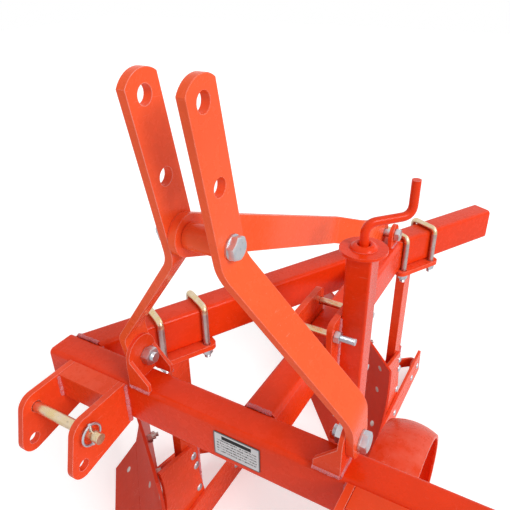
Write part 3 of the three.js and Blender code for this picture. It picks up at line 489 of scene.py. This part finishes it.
def thread(tree, diameter, height, pitch):
    """A rod that stands on its origin, with a helical groove."""
    rings = (height / pitch * 6).math("CEIL")
    shape = cylinder(tree, diameter * 0.5, height, 24, rings)
    x, y, z = position(tree)
    phase = z / pitch + y.math("ARCTAN2", x) / (2 * pi)
    groove = (phase.math("FRACT") - 0.5).math("ABSOLUTE") * pitch
    factor = 1 - groove / (diameter * 0.5)
    place = combine(tree, x * factor, y * factor, z)
    return add(tree, "GeometryNodeSetPosition", {"Geometry": shape, "Position": place})


def make_bolt_tree():
    """A hex bolt through a grip, with its nut: the head's seat is at z = 0 and the shank points down."""
    tree, given, out = geometry_tree("hex_bolt", {
        "Diameter": (FLOAT, 0.016), "Grip": (FLOAT, 0.02), "Tail": (FLOAT, 0.005), "Pitch": (FLOAT, 0.002),
        "Seat": (FLOAT, 0.0003),
    })
    size, grip, tail, seat = given["Diameter"], given["Grip"], given["Tail"], given["Seat"]
    head_height, nut_height = size * 0.65, size * 0.8
    head = move(tree, hexagon(tree, size * 1.5, head_height), combine(tree, z=seat))
    mark = move(tree, cylinder(tree, size * 0.7, seat * 2, 32), combine(tree, z=seat + head_height - seat))
    shank = move(tree, cylinder(tree, size * 0.5, grip + seat * 2, 32), combine(tree, z=grip * -1 - seat))
    nut_foot = grip * -1 - seat - nut_height
    nut = move(tree, hexagon(tree, size * 1.5, nut_height), combine(tree, z=nut_foot))
    end = nut_foot - tail
    screw = move(tree, thread(tree, size * 0.98, tail + nut_height * 0.5, given["Pitch"]), combine(tree, z=end))
    return close_tree(tree, given, out, head, mark, shank, nut, screw)


def make_nut_tree():
    """A nut on a threaded rod end that points down: the nut's seat is at z = 0."""
    tree, given, out = geometry_tree("nut_on_rod", {
        "Diameter": (FLOAT, 0.012), "Tail": (FLOAT, 0.009), "Pitch": (FLOAT, 0.00175), "Nut": (FLOAT, 1.0),
    })
    size, tail = given["Diameter"], given["Tail"]
    nut_height = size * 0.8
    nut = move(tree, hexagon(tree, size * 1.5, nut_height), combine(tree, z=nut_height * -1))
    screw_length = nut_height * 0.5 + tail
    below = combine(tree, z=nut_height * -1 - tail)
    screw = move(tree, thread(tree, size * 0.98, screw_length, given["Pitch"]), below)
    return close_tree(tree, given, out, nut, screw)


def make_weld_tree():
    """Rippled weld beads along the edges of a wire mesh."""
    tree, given, out = geometry_tree("weld_bead", {
        "Radius": (FLOAT, 0.003), "Ripple": (FLOAT, 0.0022), "Seed": (FLOAT, 3.0),
    })
    curve = add(tree, "GeometryNodeMeshToCurve", {0: given["Geometry"]})
    spacing = given["Ripple"] * 0.25
    curve = add(tree, "GeometryNodeResampleCurve", {"Curve": curve, "Length": spacing}, mode="LENGTH")
    step = add(tree, "GeometryNodeSplineParameter")["Length"] / given["Ripple"]
    ripple = step.math("FRACT")
    unevenness = add(tree, "ShaderNodeTexNoise", {"W": given["Seed"], "Scale": 160.0, "Detail": 2.0},
                     noise_dimensions="4D")
    width = given["Radius"] * (0.45 + ripple * 0.35 + unevenness * 0.75)
    wander = add(tree, "ShaderNodeTexNoise", {"W": given["Seed"] + 7.0, "Scale": 130.0, "Detail": 2.0},
                 noise_dimensions="4D")["Color"]
    centred = add(tree, "ShaderNodeVectorMath", {0: wander, 1: (0.5, 0.5, 0.5)}, operation="SUBTRACT")
    drift = add(tree, "ShaderNodeVectorMath", {0: centred, "Scale": given["Radius"] * 1.1}, operation="SCALE")
    curve = add(tree, "GeometryNodeSetPosition", {"Geometry": curve, "Offset": drift})
    curve = add(tree, "GeometryNodeSetCurveRadius", {"Curve": curve, "Radius": width})
    ring = add(tree, "GeometryNodeCurvePrimitiveCircle", {"Resolution": 8, "Radius": 1.0})
    bead = add(tree, "GeometryNodeCurveToMesh", {"Curve": curve, "Profile Curve": ring, "Fill Caps": True})
    if "Scale" in [socket.name for socket in bead.socket.node.inputs]:
        plug(tree, width, bead.socket.node.inputs["Scale"])
    return close_tree(tree, given, out, bead)


def make_stud_tree():
    """A low domed head on every face of a guide mesh, standing along the face's normal."""
    tree, given, out = geometry_tree("stud_heads", {
        "Radius": (FLOAT, 0.006), "Height": (FLOAT, 0.002), "Sides": ("NodeSocketInt", 24),
    })
    points = add(tree, "GeometryNodeMeshToPoints", {"Mesh": given["Geometry"]}, mode="FACES")
    normal = add(tree, "GeometryNodeInputNormal")
    kept = tree.nodes.new("GeometryNodeCaptureAttribute")
    kept.domain = "FACE"
    kept.capture_items.new("VECTOR", "normal")
    plug(tree, given["Geometry"], kept.inputs[0])
    plug(tree, normal, kept.inputs[1])
    tree.links.new(kept.outputs[0], points.socket.node.inputs["Mesh"])
    turn = add(tree, "FunctionNodeAlignRotationToVector", {"Vector": Wire(tree, kept.outputs[1])}, axis="Z")
    ball = add(tree, "GeometryNodeMeshUVSphere", {
        "Segments": given["Sides"], "Rings": 12, "Radius": given["Radius"],
    })
    flatness = combine(tree, 1.0, 1.0, given["Height"] / given["Radius"])
    head = add(tree, "GeometryNodeTransform", {"Geometry": ball, "Scale": flatness})
    heads = add(tree, "GeometryNodeInstanceOnPoints", {"Points": points, "Instance": head, "Rotation": turn})
    return close_tree(tree, given, out, heads)


BOLT_TREE = make_bolt_tree()
NUT_TREE = make_nut_tree()
WELD_TREE = make_weld_tree()
STUD_TREE = make_stud_tree()


def grown(name, tree, guide, material, place=None, **values):
    """Runs a tree on a guide mesh and returns the plain mesh object it makes."""
    holder = bpy.data.objects.new(name + "_guide", guide)
    bpy.context.scene.collection.objects.link(holder)
    modifier = holder.modifiers.new(name, "NODES")
    modifier.node_group = tree
    wanted = {key.replace("_", " ").title(): value for key, value in values.items()}
    for item in tree.interface.items_tree:
        if item.in_out == "INPUT" and item.name in wanted:
            modifier[item.identifier] = wanted[item.name]
        if item.in_out == "INPUT" and item.name == "Material":
            modifier[item.identifier] = material
    view = bpy.context.evaluated_depsgraph_get()
    mesh = bpy.data.meshes.new_from_object(holder.evaluated_get(view), depsgraph=view)
    bpy.data.objects.remove(holder)
    if place:
        mesh.transform(place)
    return link_piece(name, mesh, material)


def empty_guide(name):
    return bpy.data.meshes.new(name)


def wire_guide(name, lines):
    """A mesh of loose edges along lists of points."""
    mesh = bpy.data.meshes.new(name)
    points, edges = [], []
    for line in lines:
        edges += [(len(points) + i, len(points) + i + 1) for i in range(len(line) - 1)]
        points += [tuple(point) for point in line]
    mesh.from_pydata(points, edges, [])
    return mesh


def face_guide(name, spots, size=0.0005):
    """A mesh with one small face at each (point, normal)."""
    mesh = bpy.data.meshes.new(name)
    points, faces = [], []
    for point, normal in spots:
        across = Vector(normal).orthogonal().normalized() * size
        along = Vector(normal).normalized().cross(across)
        first = len(points)
        points += [tuple(Vector(point) + corner) for corner in (across, along, -across, -along)]
        faces.append(tuple(range(first, first + 4)))
    mesh.from_pydata(points, [], faces)
    mesh.update()
    return mesh


def joined(name, *pieces):
    """One mesh from several, all with their own materials."""
    bm = bmesh.new()
    mesh = bpy.data.meshes.new(name)
    finishes = []
    for piece in pieces:
        start = len(bm.faces)
        own = list(piece.data.materials)
        finishes += [material for material in own if material not in finishes]
        bm.from_mesh(piece.data)
        bm.faces.ensure_lookup_table()
        for face in bm.faces[start:]:
            face.material_index = finishes.index(own[face.material_index])
    for material in finishes:
        mesh.materials.append(material)
    bm.to_mesh(mesh)
    bm.free()
    for piece in pieces:
        bpy.data.objects.remove(piece)
    whole = bpy.data.objects.new(name, mesh)
    bpy.context.scene.collection.objects.link(whole)
    return whole


# ------------------------------------------------------------------ shared sizes, in millimetres

TUBE_WIDTH, TUBE_HEIGHT = 50, 70
SEAT = 0.3
MAIN_BEAM_ANGLE = radians(28.87)
MAIN_BEAM_Y = -296.7  # where its axis meets the crossbeam's back
HITCH_CENTRE = 228
HITCH_PLATE_FACES = (-55, -45, 45, 55)  # across, from a hitch's centre
HUB_WELD_RADIUS, RIM_WELD_RADIUS = 22.8, 162
MAST_LEAN = radians(12)
GROUND = -515
CLAMPS = {"front": 154.3, "rear": 717}
CLAMP_BOTTOM = -TUBE_HEIGHT / 2 - SEAT - 10
LANDSIDE_FACE = 26.6
FROG_FACE = 18.3

main_beam_place = Matrix.Translation(from_beam(-25, MAIN_BEAM_Y, 0)) @ Matrix.Rotation(-MAIN_BEAM_ANGLE, 4, "Z")


def from_body(clamp, x, y, z):
    """A point of a plough body, in millimetres from the ground under its clamp's middle."""
    back = CLAMPS[clamp]
    along_x = -25 - back * cos(MAIN_BEAM_ANGLE) + x
    return from_beam(along_x, MAIN_BEAM_Y + back * sin(MAIN_BEAM_ANGLE) + y, GROUND + z)


# ------------------------------------------------------------------ painted frame pieces

for tube in ("crossbeam", "main_beam", "side_beam", "wheel_sleeve"):
    dressed(tube, red_tube, 0.7)

PLATES = [f"hitch_plate_{side}_{place}" for side in ("left", "right") for place in ("inner", "outer")]
PAIRED_PLATES = ("hitch_spacer", "foot_bracket", "mast_bar", "brace_ear")
PLATES += [f"{name}_{side}" for name in PAIRED_PLATES for side in ("left", "right")]
PLATES += ["mast_brace", "mast_spacer", "sleeve_plate", "sleeve_back_plate"]
BODY_PLATES = ("clamp_plate", "leg", "frog", "landside", "stay")
PLATES += [f"{clamp}_{part}" for clamp in CLAMPS for part in BODY_PLATES]
for plate in PLATES:
    dressed(plate, mast_enamel if plate.startswith("mast") else red_plate, 1.1)

dressed("wheel_leg", red_tube, 0.8, body="wheel_leg")
dressed("wheel_rim", red_wheel, 0.6, body="wheel")
dressed("wheel_hub", red_wheel, 1.0, body="wheel")
dressed("data_plate", satin_plate, 0.2, slot="blank_plate")

# ------------------------------------------------------------------ crank

CRANK_TURN = radians(139)
CRANK_THROW, CRANK_RISE, CRANK_HANDLE = 76.5, 32, 56


def make_crank():
    """A bent round rod that stands in a dished collar on the sleeve's flange."""
    low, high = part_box("wheel_sleeve")
    base = Vector(((low.x + high.x) / 2, (low.y + high.y) / 2, high.z + SEAT * MM))
    rise = 7 + CRANK_RISE
    over = Vector((CRANK_THROW * cos(CRANK_TURN), CRANK_THROW * sin(CRANK_TURN), 0))
    top = Vector((0, 0, rise))
    corners = [Vector((0, 0, 0.6)), top, over + top, over + top + Vector((0, 0, CRANK_HANDLE))]
    path = bent([corner * MM for corner in corners], 18 * MM, 10)
    rod = new_piece("crank_rod", swept(path, 7 * MM, 28), red_tube)
    dish = ((10.8, 6.2), (9.4, 4.0), (8.6, 1.4), (8.4, 0))
    profile = ((21, 0), (20.6, 1.6), (17.5, 4.2), (14.6, 6.3), (12.6, 6.9)) + dish
    bm = bmesh.new()
    points = [bm.verts.new((r * MM, 0, z * MM)) for r, z in profile]
    edges = [bm.edges.new(pair) for pair in zip(points, points[1:] + points[:1])]
    bmesh.ops.spin(bm, geom=points + edges, axis=(0, 0, 1), angle=2 * pi, steps=56, use_merge=True)
    bmesh.ops.recalc_face_normals(bm, faces=bm.faces)
    collar = new_piece("crank_collar", bm, red_tube, 50)
    crank = joined("crank_skin", rod, collar)
    crank.data.transform(Matrix.Translation(base))
    return finish(crank, "frame", "red_paint", "crank")


make_crank()

# ------------------------------------------------------------------ fasteners


def make_hex_bolt(node, diameter, side, tail, material=bright_zinc, washer=0, body="frame", pitch=2.0,
                  shank=None):
    """The node's bolt, along Y, its head towards side; a washer takes its share of the head's height."""
    low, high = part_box(node)
    head_height, nut_height = 0.65 * diameter, 0.8 * diameter
    length = (high.y - low.y) / MM
    grip = length - head_height - nut_height - tail - 2 * SEAT
    head_end = high.y if side > 0 else low.y
    seat = head_end - side * (head_height + SEAT) * MM
    lean = Matrix.Rotation(MAST_LEAN, 4, "Y") if node.startswith(("foot", "mast")) else Matrix()
    place = Matrix.Translation(((low.x + high.x) / 2, seat, (low.z + high.z) / 2)) @ lean
    place = place @ Matrix.Rotation(-side * pi / 2, 4, "X")
    made = [grown(node + "_steel", BOLT_TREE, empty_guide(node), material, place, diameter=diameter * MM,
                  grip=grip * MM, tail=tail * MM, pitch=pitch * MM, seat=SEAT * MM)]
    if shank:
        steel = made[0].data
        steel.materials.append(shank)
        back = place.inverted()
        for face in steel.polygons:
            spot = back @ face.center
            between = -(grip - 6) * MM < spot.z < 0
            face.material_index = int(between and Vector((spot.x, spot.y)).length < 0.53 * diameter * MM)
    if washer:
        ring = bmesh.new()
        bmesh.ops.create_cone(ring, cap_ends=True, segments=48, depth=washer * MM,
                              radius1=0.86 * diameter * MM, radius2=0.866 * diameter * MM)
        disc = new_piece(node + "_washer", ring, material)
        disc.data.transform(place @ Matrix.Translation((0, 0, (SEAT + washer / 2) * MM)))
        made.append(disc)
    return finish(joined(node + "_skin", *made), body, "white_zinc", node)


for side, turn in (("left", 1), ("right", -1)):
    make_hex_bolt("foot_bolt_" + side, 16, turn, 5, washer=2.2)
make_hex_bolt("mast_bolt", 16, 1, 6, washer=2.2)
make_hex_bolt("brace_bolt", 16, 1, 6)
make_hex_bolt("wheel_axle", 20, -1, 5, body="wheel_leg", pitch=2.5)
for end in ("fore", "aft"):
    for level in ("upper", "lower"):
        make_hex_bolt(f"sleeve_bolt_{end}_{level}", 12, -1, 24, pitch=1.75, shank=yellow_zinc)


def make_u_bolt(clamp, end, offset):
    """A bent rod over the main beam, with a nut and a threaded tail at each end."""
    half = TUBE_WIDTH / 2 + SEAT + 6
    top = TUBE_HEIGHT / 2 + SEAT + 6
    nut_seat = CLAMP_BOTTOM - SEAT
    x = offset - CLAMPS[clamp]
    corners = [(x, -half, nut_seat - 4), (x, -half, top), (x, half, top), (x, half, nut_seat - 4)]
    path = bent([Vector(corner) * MM for corner in corners], 11 * MM, 10)
    rod = new_piece("rod", swept(path, 6 * MM, 24), yellow_zinc)
    rod.data.materials.append(silver_pink)
    for face in rod.data.polygons:
        face.material_index = int(face.center.z < 14 * MM)
    parts = [rod]
    for y in (-half, half):
        place = Matrix.Translation(Vector((x, y, nut_seat)) * MM)
        parts.append(grown(f"{clamp}_{end}_nut", NUT_TREE, empty_guide("nut"), bright_zinc, place,
                           diameter=12 * MM, tail=9 * MM, pitch=1.75 * MM))
    u_bolt = joined(f"{clamp}_u_bolt_{end}_skin", *parts)
    u_bolt.data.transform(main_beam_place)
    return finish(u_bolt, "frame", "yellow_zinc", f"{clamp}_u_bolt_{end}")


for clamp in CLAMPS:
    make_u_bolt(clamp, "fore", 41)
    make_u_bolt(clamp, "aft", -41)

for side in ("left", "right"):
    dressed(f"hitch_pin_{side}", yellow_zinc, 0.8, slot="yellow_zinc")
    dressed(f"linch_pin_{side}", bright_zinc, 0.3, slot="white_zinc")

# ------------------------------------------------------------------ blades

SHIN_X, SHIN_Z, SHARE_REACH, SHIN_POWER, SHIN_LEAN = 129, 185, 171, 2.3, 0.0011
SHARE_ANGLE, TAIL_TWIST = radians(42), radians(10)
MOLDBOARD_TOP, SHARE_HEIGHT, FURROW = 324, 58, 270


def working_surface(along, z):
    """A point of the level lines that sweep the working surface, in millimetres from the body's place."""
    if z > SHIN_Z:
        shin = SHIN_X + SHIN_LEAN * (z - SHIN_Z) ** 2
    else:
        shin = SHIN_X + SHARE_REACH * ((SHIN_Z - z) / SHIN_Z) ** SHIN_POWER
    angle = SHARE_ANGLE + TAIL_TWIST * z / MOLDBOARD_TOP
    return Vector((shin - along * cos(angle), LANDSIDE_FACE - along * sin(angle), z))


def surface_normal(along, z):
    point = working_surface(along, z)
    normal = (working_surface(along + 1, z) - point).cross(working_surface(along, z + 1) - point).normalized()
    return normal if normal.x > 0 else -normal


def back_of_plate(along, z, thickness):
    normal = surface_normal(along, z)
    flat = Vector((normal.x, normal.y, 0))
    return working_surface(along, z) - flat * (thickness / flat.length_squared)


def make_blade(clamp, blade, line_at, thickness, columns, rows):
    """A closed shell between the front and the back of a patch of the working surface."""
    bm = bmesh.new()
    faces = (working_surface, lambda along, z: back_of_plate(along, z, thickness))
    layers = []
    for face in faces:
        grid = []
        for row in range(rows + 1):
            spots = [face(*line_at(column / columns, row / rows)) for column in range(columns + 1)]
            grid.append([bm.verts.new(from_body(clamp, *spot)) for spot in spots])
        layers.append(grid)
    for grid in layers:
        for low_row, high_row in zip(grid, grid[1:]):
            for i in range(columns):
                bm.faces.new((low_row[i], low_row[i + 1], high_row[i + 1], high_row[i]))
    front, back = layers
    rims = [(front[0], back[0]), (front[-1], back[-1])]
    rims += [([row[i] for row in front], [row[i] for row in back]) for i in (0, -1)]
    for near, far in rims:
        for i in range(len(near) - 1):
            bm.faces.new((near[i], near[i + 1], far[i + 1], far[i]))
    bmesh.ops.recalc_face_normals(bm, faces=bm.faces)
    piece = new_piece(f"{clamp}_{blade}_skin", bm, red_blade, 40)
    soften(piece, 0.9, 2, 45)
    return finish(piece, "frame", "red_paint", f"{clamp}_{blade}")


def moldboard_line(u, v):
    foot = SHARE_HEIGHT + 2 * SEAT
    tail = 350 + 195 * sin(v * pi / 2)
    top = 262 + 62 * sin(u * 0.72 * pi)
    round_off = (u * v) ** 4
    return u * tail - 68 * round_off, foot + v * (top - foot) - 20 * round_off


def share_line(u, v):
    length = FURROW / sin(SHARE_ANGLE)
    return u * (length - (length - 350) * v), v * SHARE_HEIGHT


MOLDBOARD_BOLTS = [(35, 92), (150, 100), (45, 165), (190, 178), (40, 236), (110, 258)]
SHARE_BOLTS = [(60, 30), (200, 30), (320, 32)]


def make_body_details(clamp):
    """Flush plough bolts on the blades, their nuts behind, and round bolts through frog and landside."""
    flush = []
    parts = []
    for along, z in MOLDBOARD_BOLTS + SHARE_BOLTS:
        normal = surface_normal(along, z)
        flush.append((from_body(clamp, *(working_surface(along, z) - normal * 0.5)), normal))
        thickness = 8 if z < SHARE_HEIGHT else 6
        if z > SHARE_HEIGHT:
            seat = from_body(clamp, *(working_surface(along, z) - normal * (thickness + 0.2)))
            place = Matrix.Translation(seat) @ normal.to_track_quat("Z", "Y").to_matrix().to_4x4()
            parts.append(grown("blade_nut", NUT_TREE, empty_guide("nut"), worn_bolt, place, diameter=10 * MM,
                               tail=7 * MM, pitch=1.5 * MM))
    heads = [(x, FROG_FACE, z) for x, z in ((14, 205), (8, 172), (5, 101))]
    heads += [(x, LANDSIDE_FACE, z) for x, z in ((-184, 40), (-126, 40), (26, 40))]
    domes = [(from_body(clamp, x, y - 0.4, z), Vector((0, 1, 0))) for x, y, z in heads]
    parts.append(grown("flush_heads", STUD_TREE, face_guide("flush", flush), worn_bolt,
                       radius=8 * MM, height=1.1 * MM))
    parts.append(grown("round_heads", STUD_TREE, face_guide("domes", domes), bright_zinc,
                       radius=8.5 * MM, height=4.2 * MM))
    finish(joined(clamp + "_body_bolts", *parts), "frame", "white_zinc")


for clamp in CLAMPS:
    make_blade(clamp, "moldboard", moldboard_line, 6, 48, 36)
    make_blade(clamp, "share", share_line, 8, 36, 12)
    make_body_details(clamp)

# ------------------------------------------------------------------ welds


def make_welds(name, lines, radius=3.0, body="frame", ripple=2.4):
    """Rippled fillet welds along lines of points in metres."""
    beads = grown(name, WELD_TREE, wire_guide(name, lines), weld_enamel,
                  radius=radius * MM, ripple=ripple * MM, seed=len(name))
    return finish(beads, body, "red_paint")


def box_edges(node, z):
    """The level outline of a node's box at a height in metres."""
    low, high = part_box(node)
    ring = [(low.x, low.y, z), (high.x, low.y, z), (high.x, high.y, z), (low.x, high.y, z)]
    return ring + ring[:1]


beam_top = from_beam(0, 0, TUBE_HEIGHT / 2).z
hitch_lines = []
for centre in (HITCH_CENTRE, -HITCH_CENTRE):
    for wall in HITCH_PLATE_FACES:
        y = centre + wall
        hitch_lines.append([from_beam(25.6, y, 31), from_beam(25.6, y, -38)])
        if abs(wall) == 45:
            hitch_lines.append([from_beam(59.6, y, 33), from_beam(59.6, y, -5)])
            hitch_lines.append([from_beam(57, y, -6), from_beam(27, y, -6)])
make_welds("hitch_welds", hitch_lines, 3.6)

half_cut = 25 / cos(MAIN_BEAM_ANGLE)
side_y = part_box("side_beam")[1].y
rear_face = from_beam(-25.2, 0, 0).x
beam_lines = []
for y in (MAIN_BEAM_Y - half_cut, MAIN_BEAM_Y + half_cut):
    beam_lines.append([from_beam(-25.6, y, 29), from_beam(-25.6, y, -29)])
beam_lines.append([from_beam(-25.4, MAIN_BEAM_Y - half_cut + 6, 35.2),
                   from_beam(-25.4, MAIN_BEAM_Y + half_cut - 6, 35.2)])
for y in (side_y, side_y - TUBE_WIDTH * MM):
    beam_lines.append([(rear_face, y, beam_top - 0.008), (rear_face, y, beam_top - 0.062)])
beam_lines.append([(rear_face, side_y - 0.006, beam_top + 0.0002),
                   (rear_face, side_y - 0.044, beam_top + 0.0002)])
make_welds("beam_welds", beam_lines, 3.0)

mast_lines = []
for side in ("left", "right"):
    low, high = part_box("foot_bracket_" + side)
    web_y = high.y if side == "left" else low.y
    toe_y = low.y if side == "left" else high.y
    mast_lines.append([(low.x + 0.002, web_y, beam_top), (high.x - 0.002, web_y, beam_top)])
    for x in (low.x, high.x):
        mast_lines.append([(x, web_y, beam_top), (x, toe_y, beam_top)])
    low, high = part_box("brace_ear_" + side)
    for y in (low.y, high.y):
        mast_lines.append([(low.x + 0.003, y, beam_top), (high.x - 0.003, y, beam_top)])
make_welds("mast_welds", mast_lines, 2.4)

plate_low, plate_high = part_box("sleeve_plate")
sleeve_low, sleeve_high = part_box("wheel_sleeve")
sleeve_x = (sleeve_low.x + sleeve_high.x) / 2
sleeve_y = (sleeve_low.y + sleeve_high.y) / 2
flange_z = sleeve_high.z - 5.3 * MM
corner = 18.5 * MM
plate_ends = (plate_low.z + 0.004, plate_high.z - 0.004)
sleeve_lines = [[(sleeve_x + side * 20.4 * MM, plate_high.y + 0.6 * MM, z) for z in plate_ends]
                for side in (-1, 1)]
ring = [(-1, -1), (1, -1), (1, 1), (-1, 1), (-1, -1)]
for (ax, ay), (bx, by) in zip(ring, ring[1:]):
    out = Vector(((ax + bx) / 2, (ay + by) / 2, 0)) * 1.9 * MM
    a = Vector((sleeve_x + ax * corner, sleeve_y + ay * corner, flange_z)) + out
    b = Vector((sleeve_x + bx * corner, sleeve_y + by * corner, flange_z)) + out
    sleeve_lines.append([a, b])
make_welds("sleeve_welds", sleeve_lines, 2.6)

for clamp in CLAMPS:
    low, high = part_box(clamp + "_leg")
    lines = [box_edges(clamp + "_leg", high.z - 0.0004)]
    for x in (low.x, high.x):
        y = from_body(clamp, 0, FROG_FACE - 8.2, 0).y
        lines.append([(x, y, from_body(clamp, 0, 0, 84).z), (x, y, from_body(clamp, 0, 0, 226).z)])
    make_welds(clamp + "_body_welds", lines, 2.8)

low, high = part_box("wheel_rim")
axis = Vector(((low.x + high.x) / 2, 0, (low.z + high.z) / 2))
middle_y = (low.y + high.y) / 2


def circle(radius, y, steps=72):
    turns = [2 * pi * i / steps for i in range(steps + 1)]
    return [axis + Vector((radius * MM * cos(turn), y, radius * MM * sin(turn))) for turn in turns]


wheel_lines = [circle(HUB_WELD_RADIUS, middle_y + side * 2.8 * MM) for side in (-1, 1)]
wheel_lines += [circle(RIM_WELD_RADIUS, middle_y + side * 3.4 * MM) for side in (-1, 1)]
make_welds("wheel_welds", wheel_lines, 2.4, body="wheel")

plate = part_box("data_plate")
RIVET_INSET = 3.5 * MM
rivets = [(Vector((plate[1].x - 0.0003, y, z)), Vector((1, 0, 0)))
          for y in (plate[0].y + RIVET_INSET, plate[1].y - RIVET_INSET)
          for z in (plate[0].z + RIVET_INSET, plate[1].z - RIVET_INSET)]
rivet_heads = grown("data_plate_rivets", STUD_TREE, face_guide("rivets", rivets), bright_zinc,
                    radius=1.7 * MM, height=0.9 * MM)
finish(rivet_heads, "frame", "white_zinc")

# ------------------------------------------------------------------ studio


def make_studio():
    """A pale floor that keeps the plough's shadow, soft lamps and a white surround."""
    bm = bmesh.new()
    bmesh.ops.create_grid(bm, x_segments=1, y_segments=1, size=8)
    material, tree, shader = new_material("studio_floor")
    shader.inputs["Roughness"].default_value = 0.9
    grain = noise(tree, 3, 2) * 0.02 + 0.86
    plug(tree, add(tree, "ShaderNodeCombineColor", {0: grain, 1: grain, 2: grain}), shader.inputs["Base Color"])
    light_path = add(tree, "ShaderNodeLightPath")
    shader.inputs["Emission Color"].default_value = (1, 1, 1, 1)
    plug(tree, light_path["Is Camera Ray"] * 0.42, shader.inputs["Emission Strength"])
    floor = new_piece("studio_floor", bm, material)

    world = bpy.data.worlds.new("studio")
    bpy.context.scene.world = world
    world.use_nodes = True
    tree = world.node_tree
    light_path = add(tree, "ShaderNodeLightPath")
    seen = light_path["Is Camera Ray"].math("MAXIMUM", light_path["Is Glossy Ray"])
    seen = seen.math("MAXIMUM", light_path["Is Transmission Ray"])
    background = tree.nodes["Background"]
    background.inputs["Color"].default_value = (1, 1, 1, 1)
    plug(tree, seen * 0.45 + 0.55, background.inputs["Strength"])

    for name, towards, angle, power in (
        ("key_lamp", (0.22, 0.82, 0.60), 25, 1.85),
        ("rim_lamp", (-0.75, 0.45, 0.50), 40, 0.35),
    ):
        lamp = bpy.data.objects.new(name, bpy.data.lights.new(name, "SUN"))
        bpy.context.scene.collection.objects.link(lamp)
        lamp.data.angle = radians(angle)
        lamp.data.energy = power
        lamp.rotation_euler = Vector(towards).to_track_quat("Z", "Y").to_euler()


make_studio()
bpy.context.scene.view_settings.view_transform = "Standard"
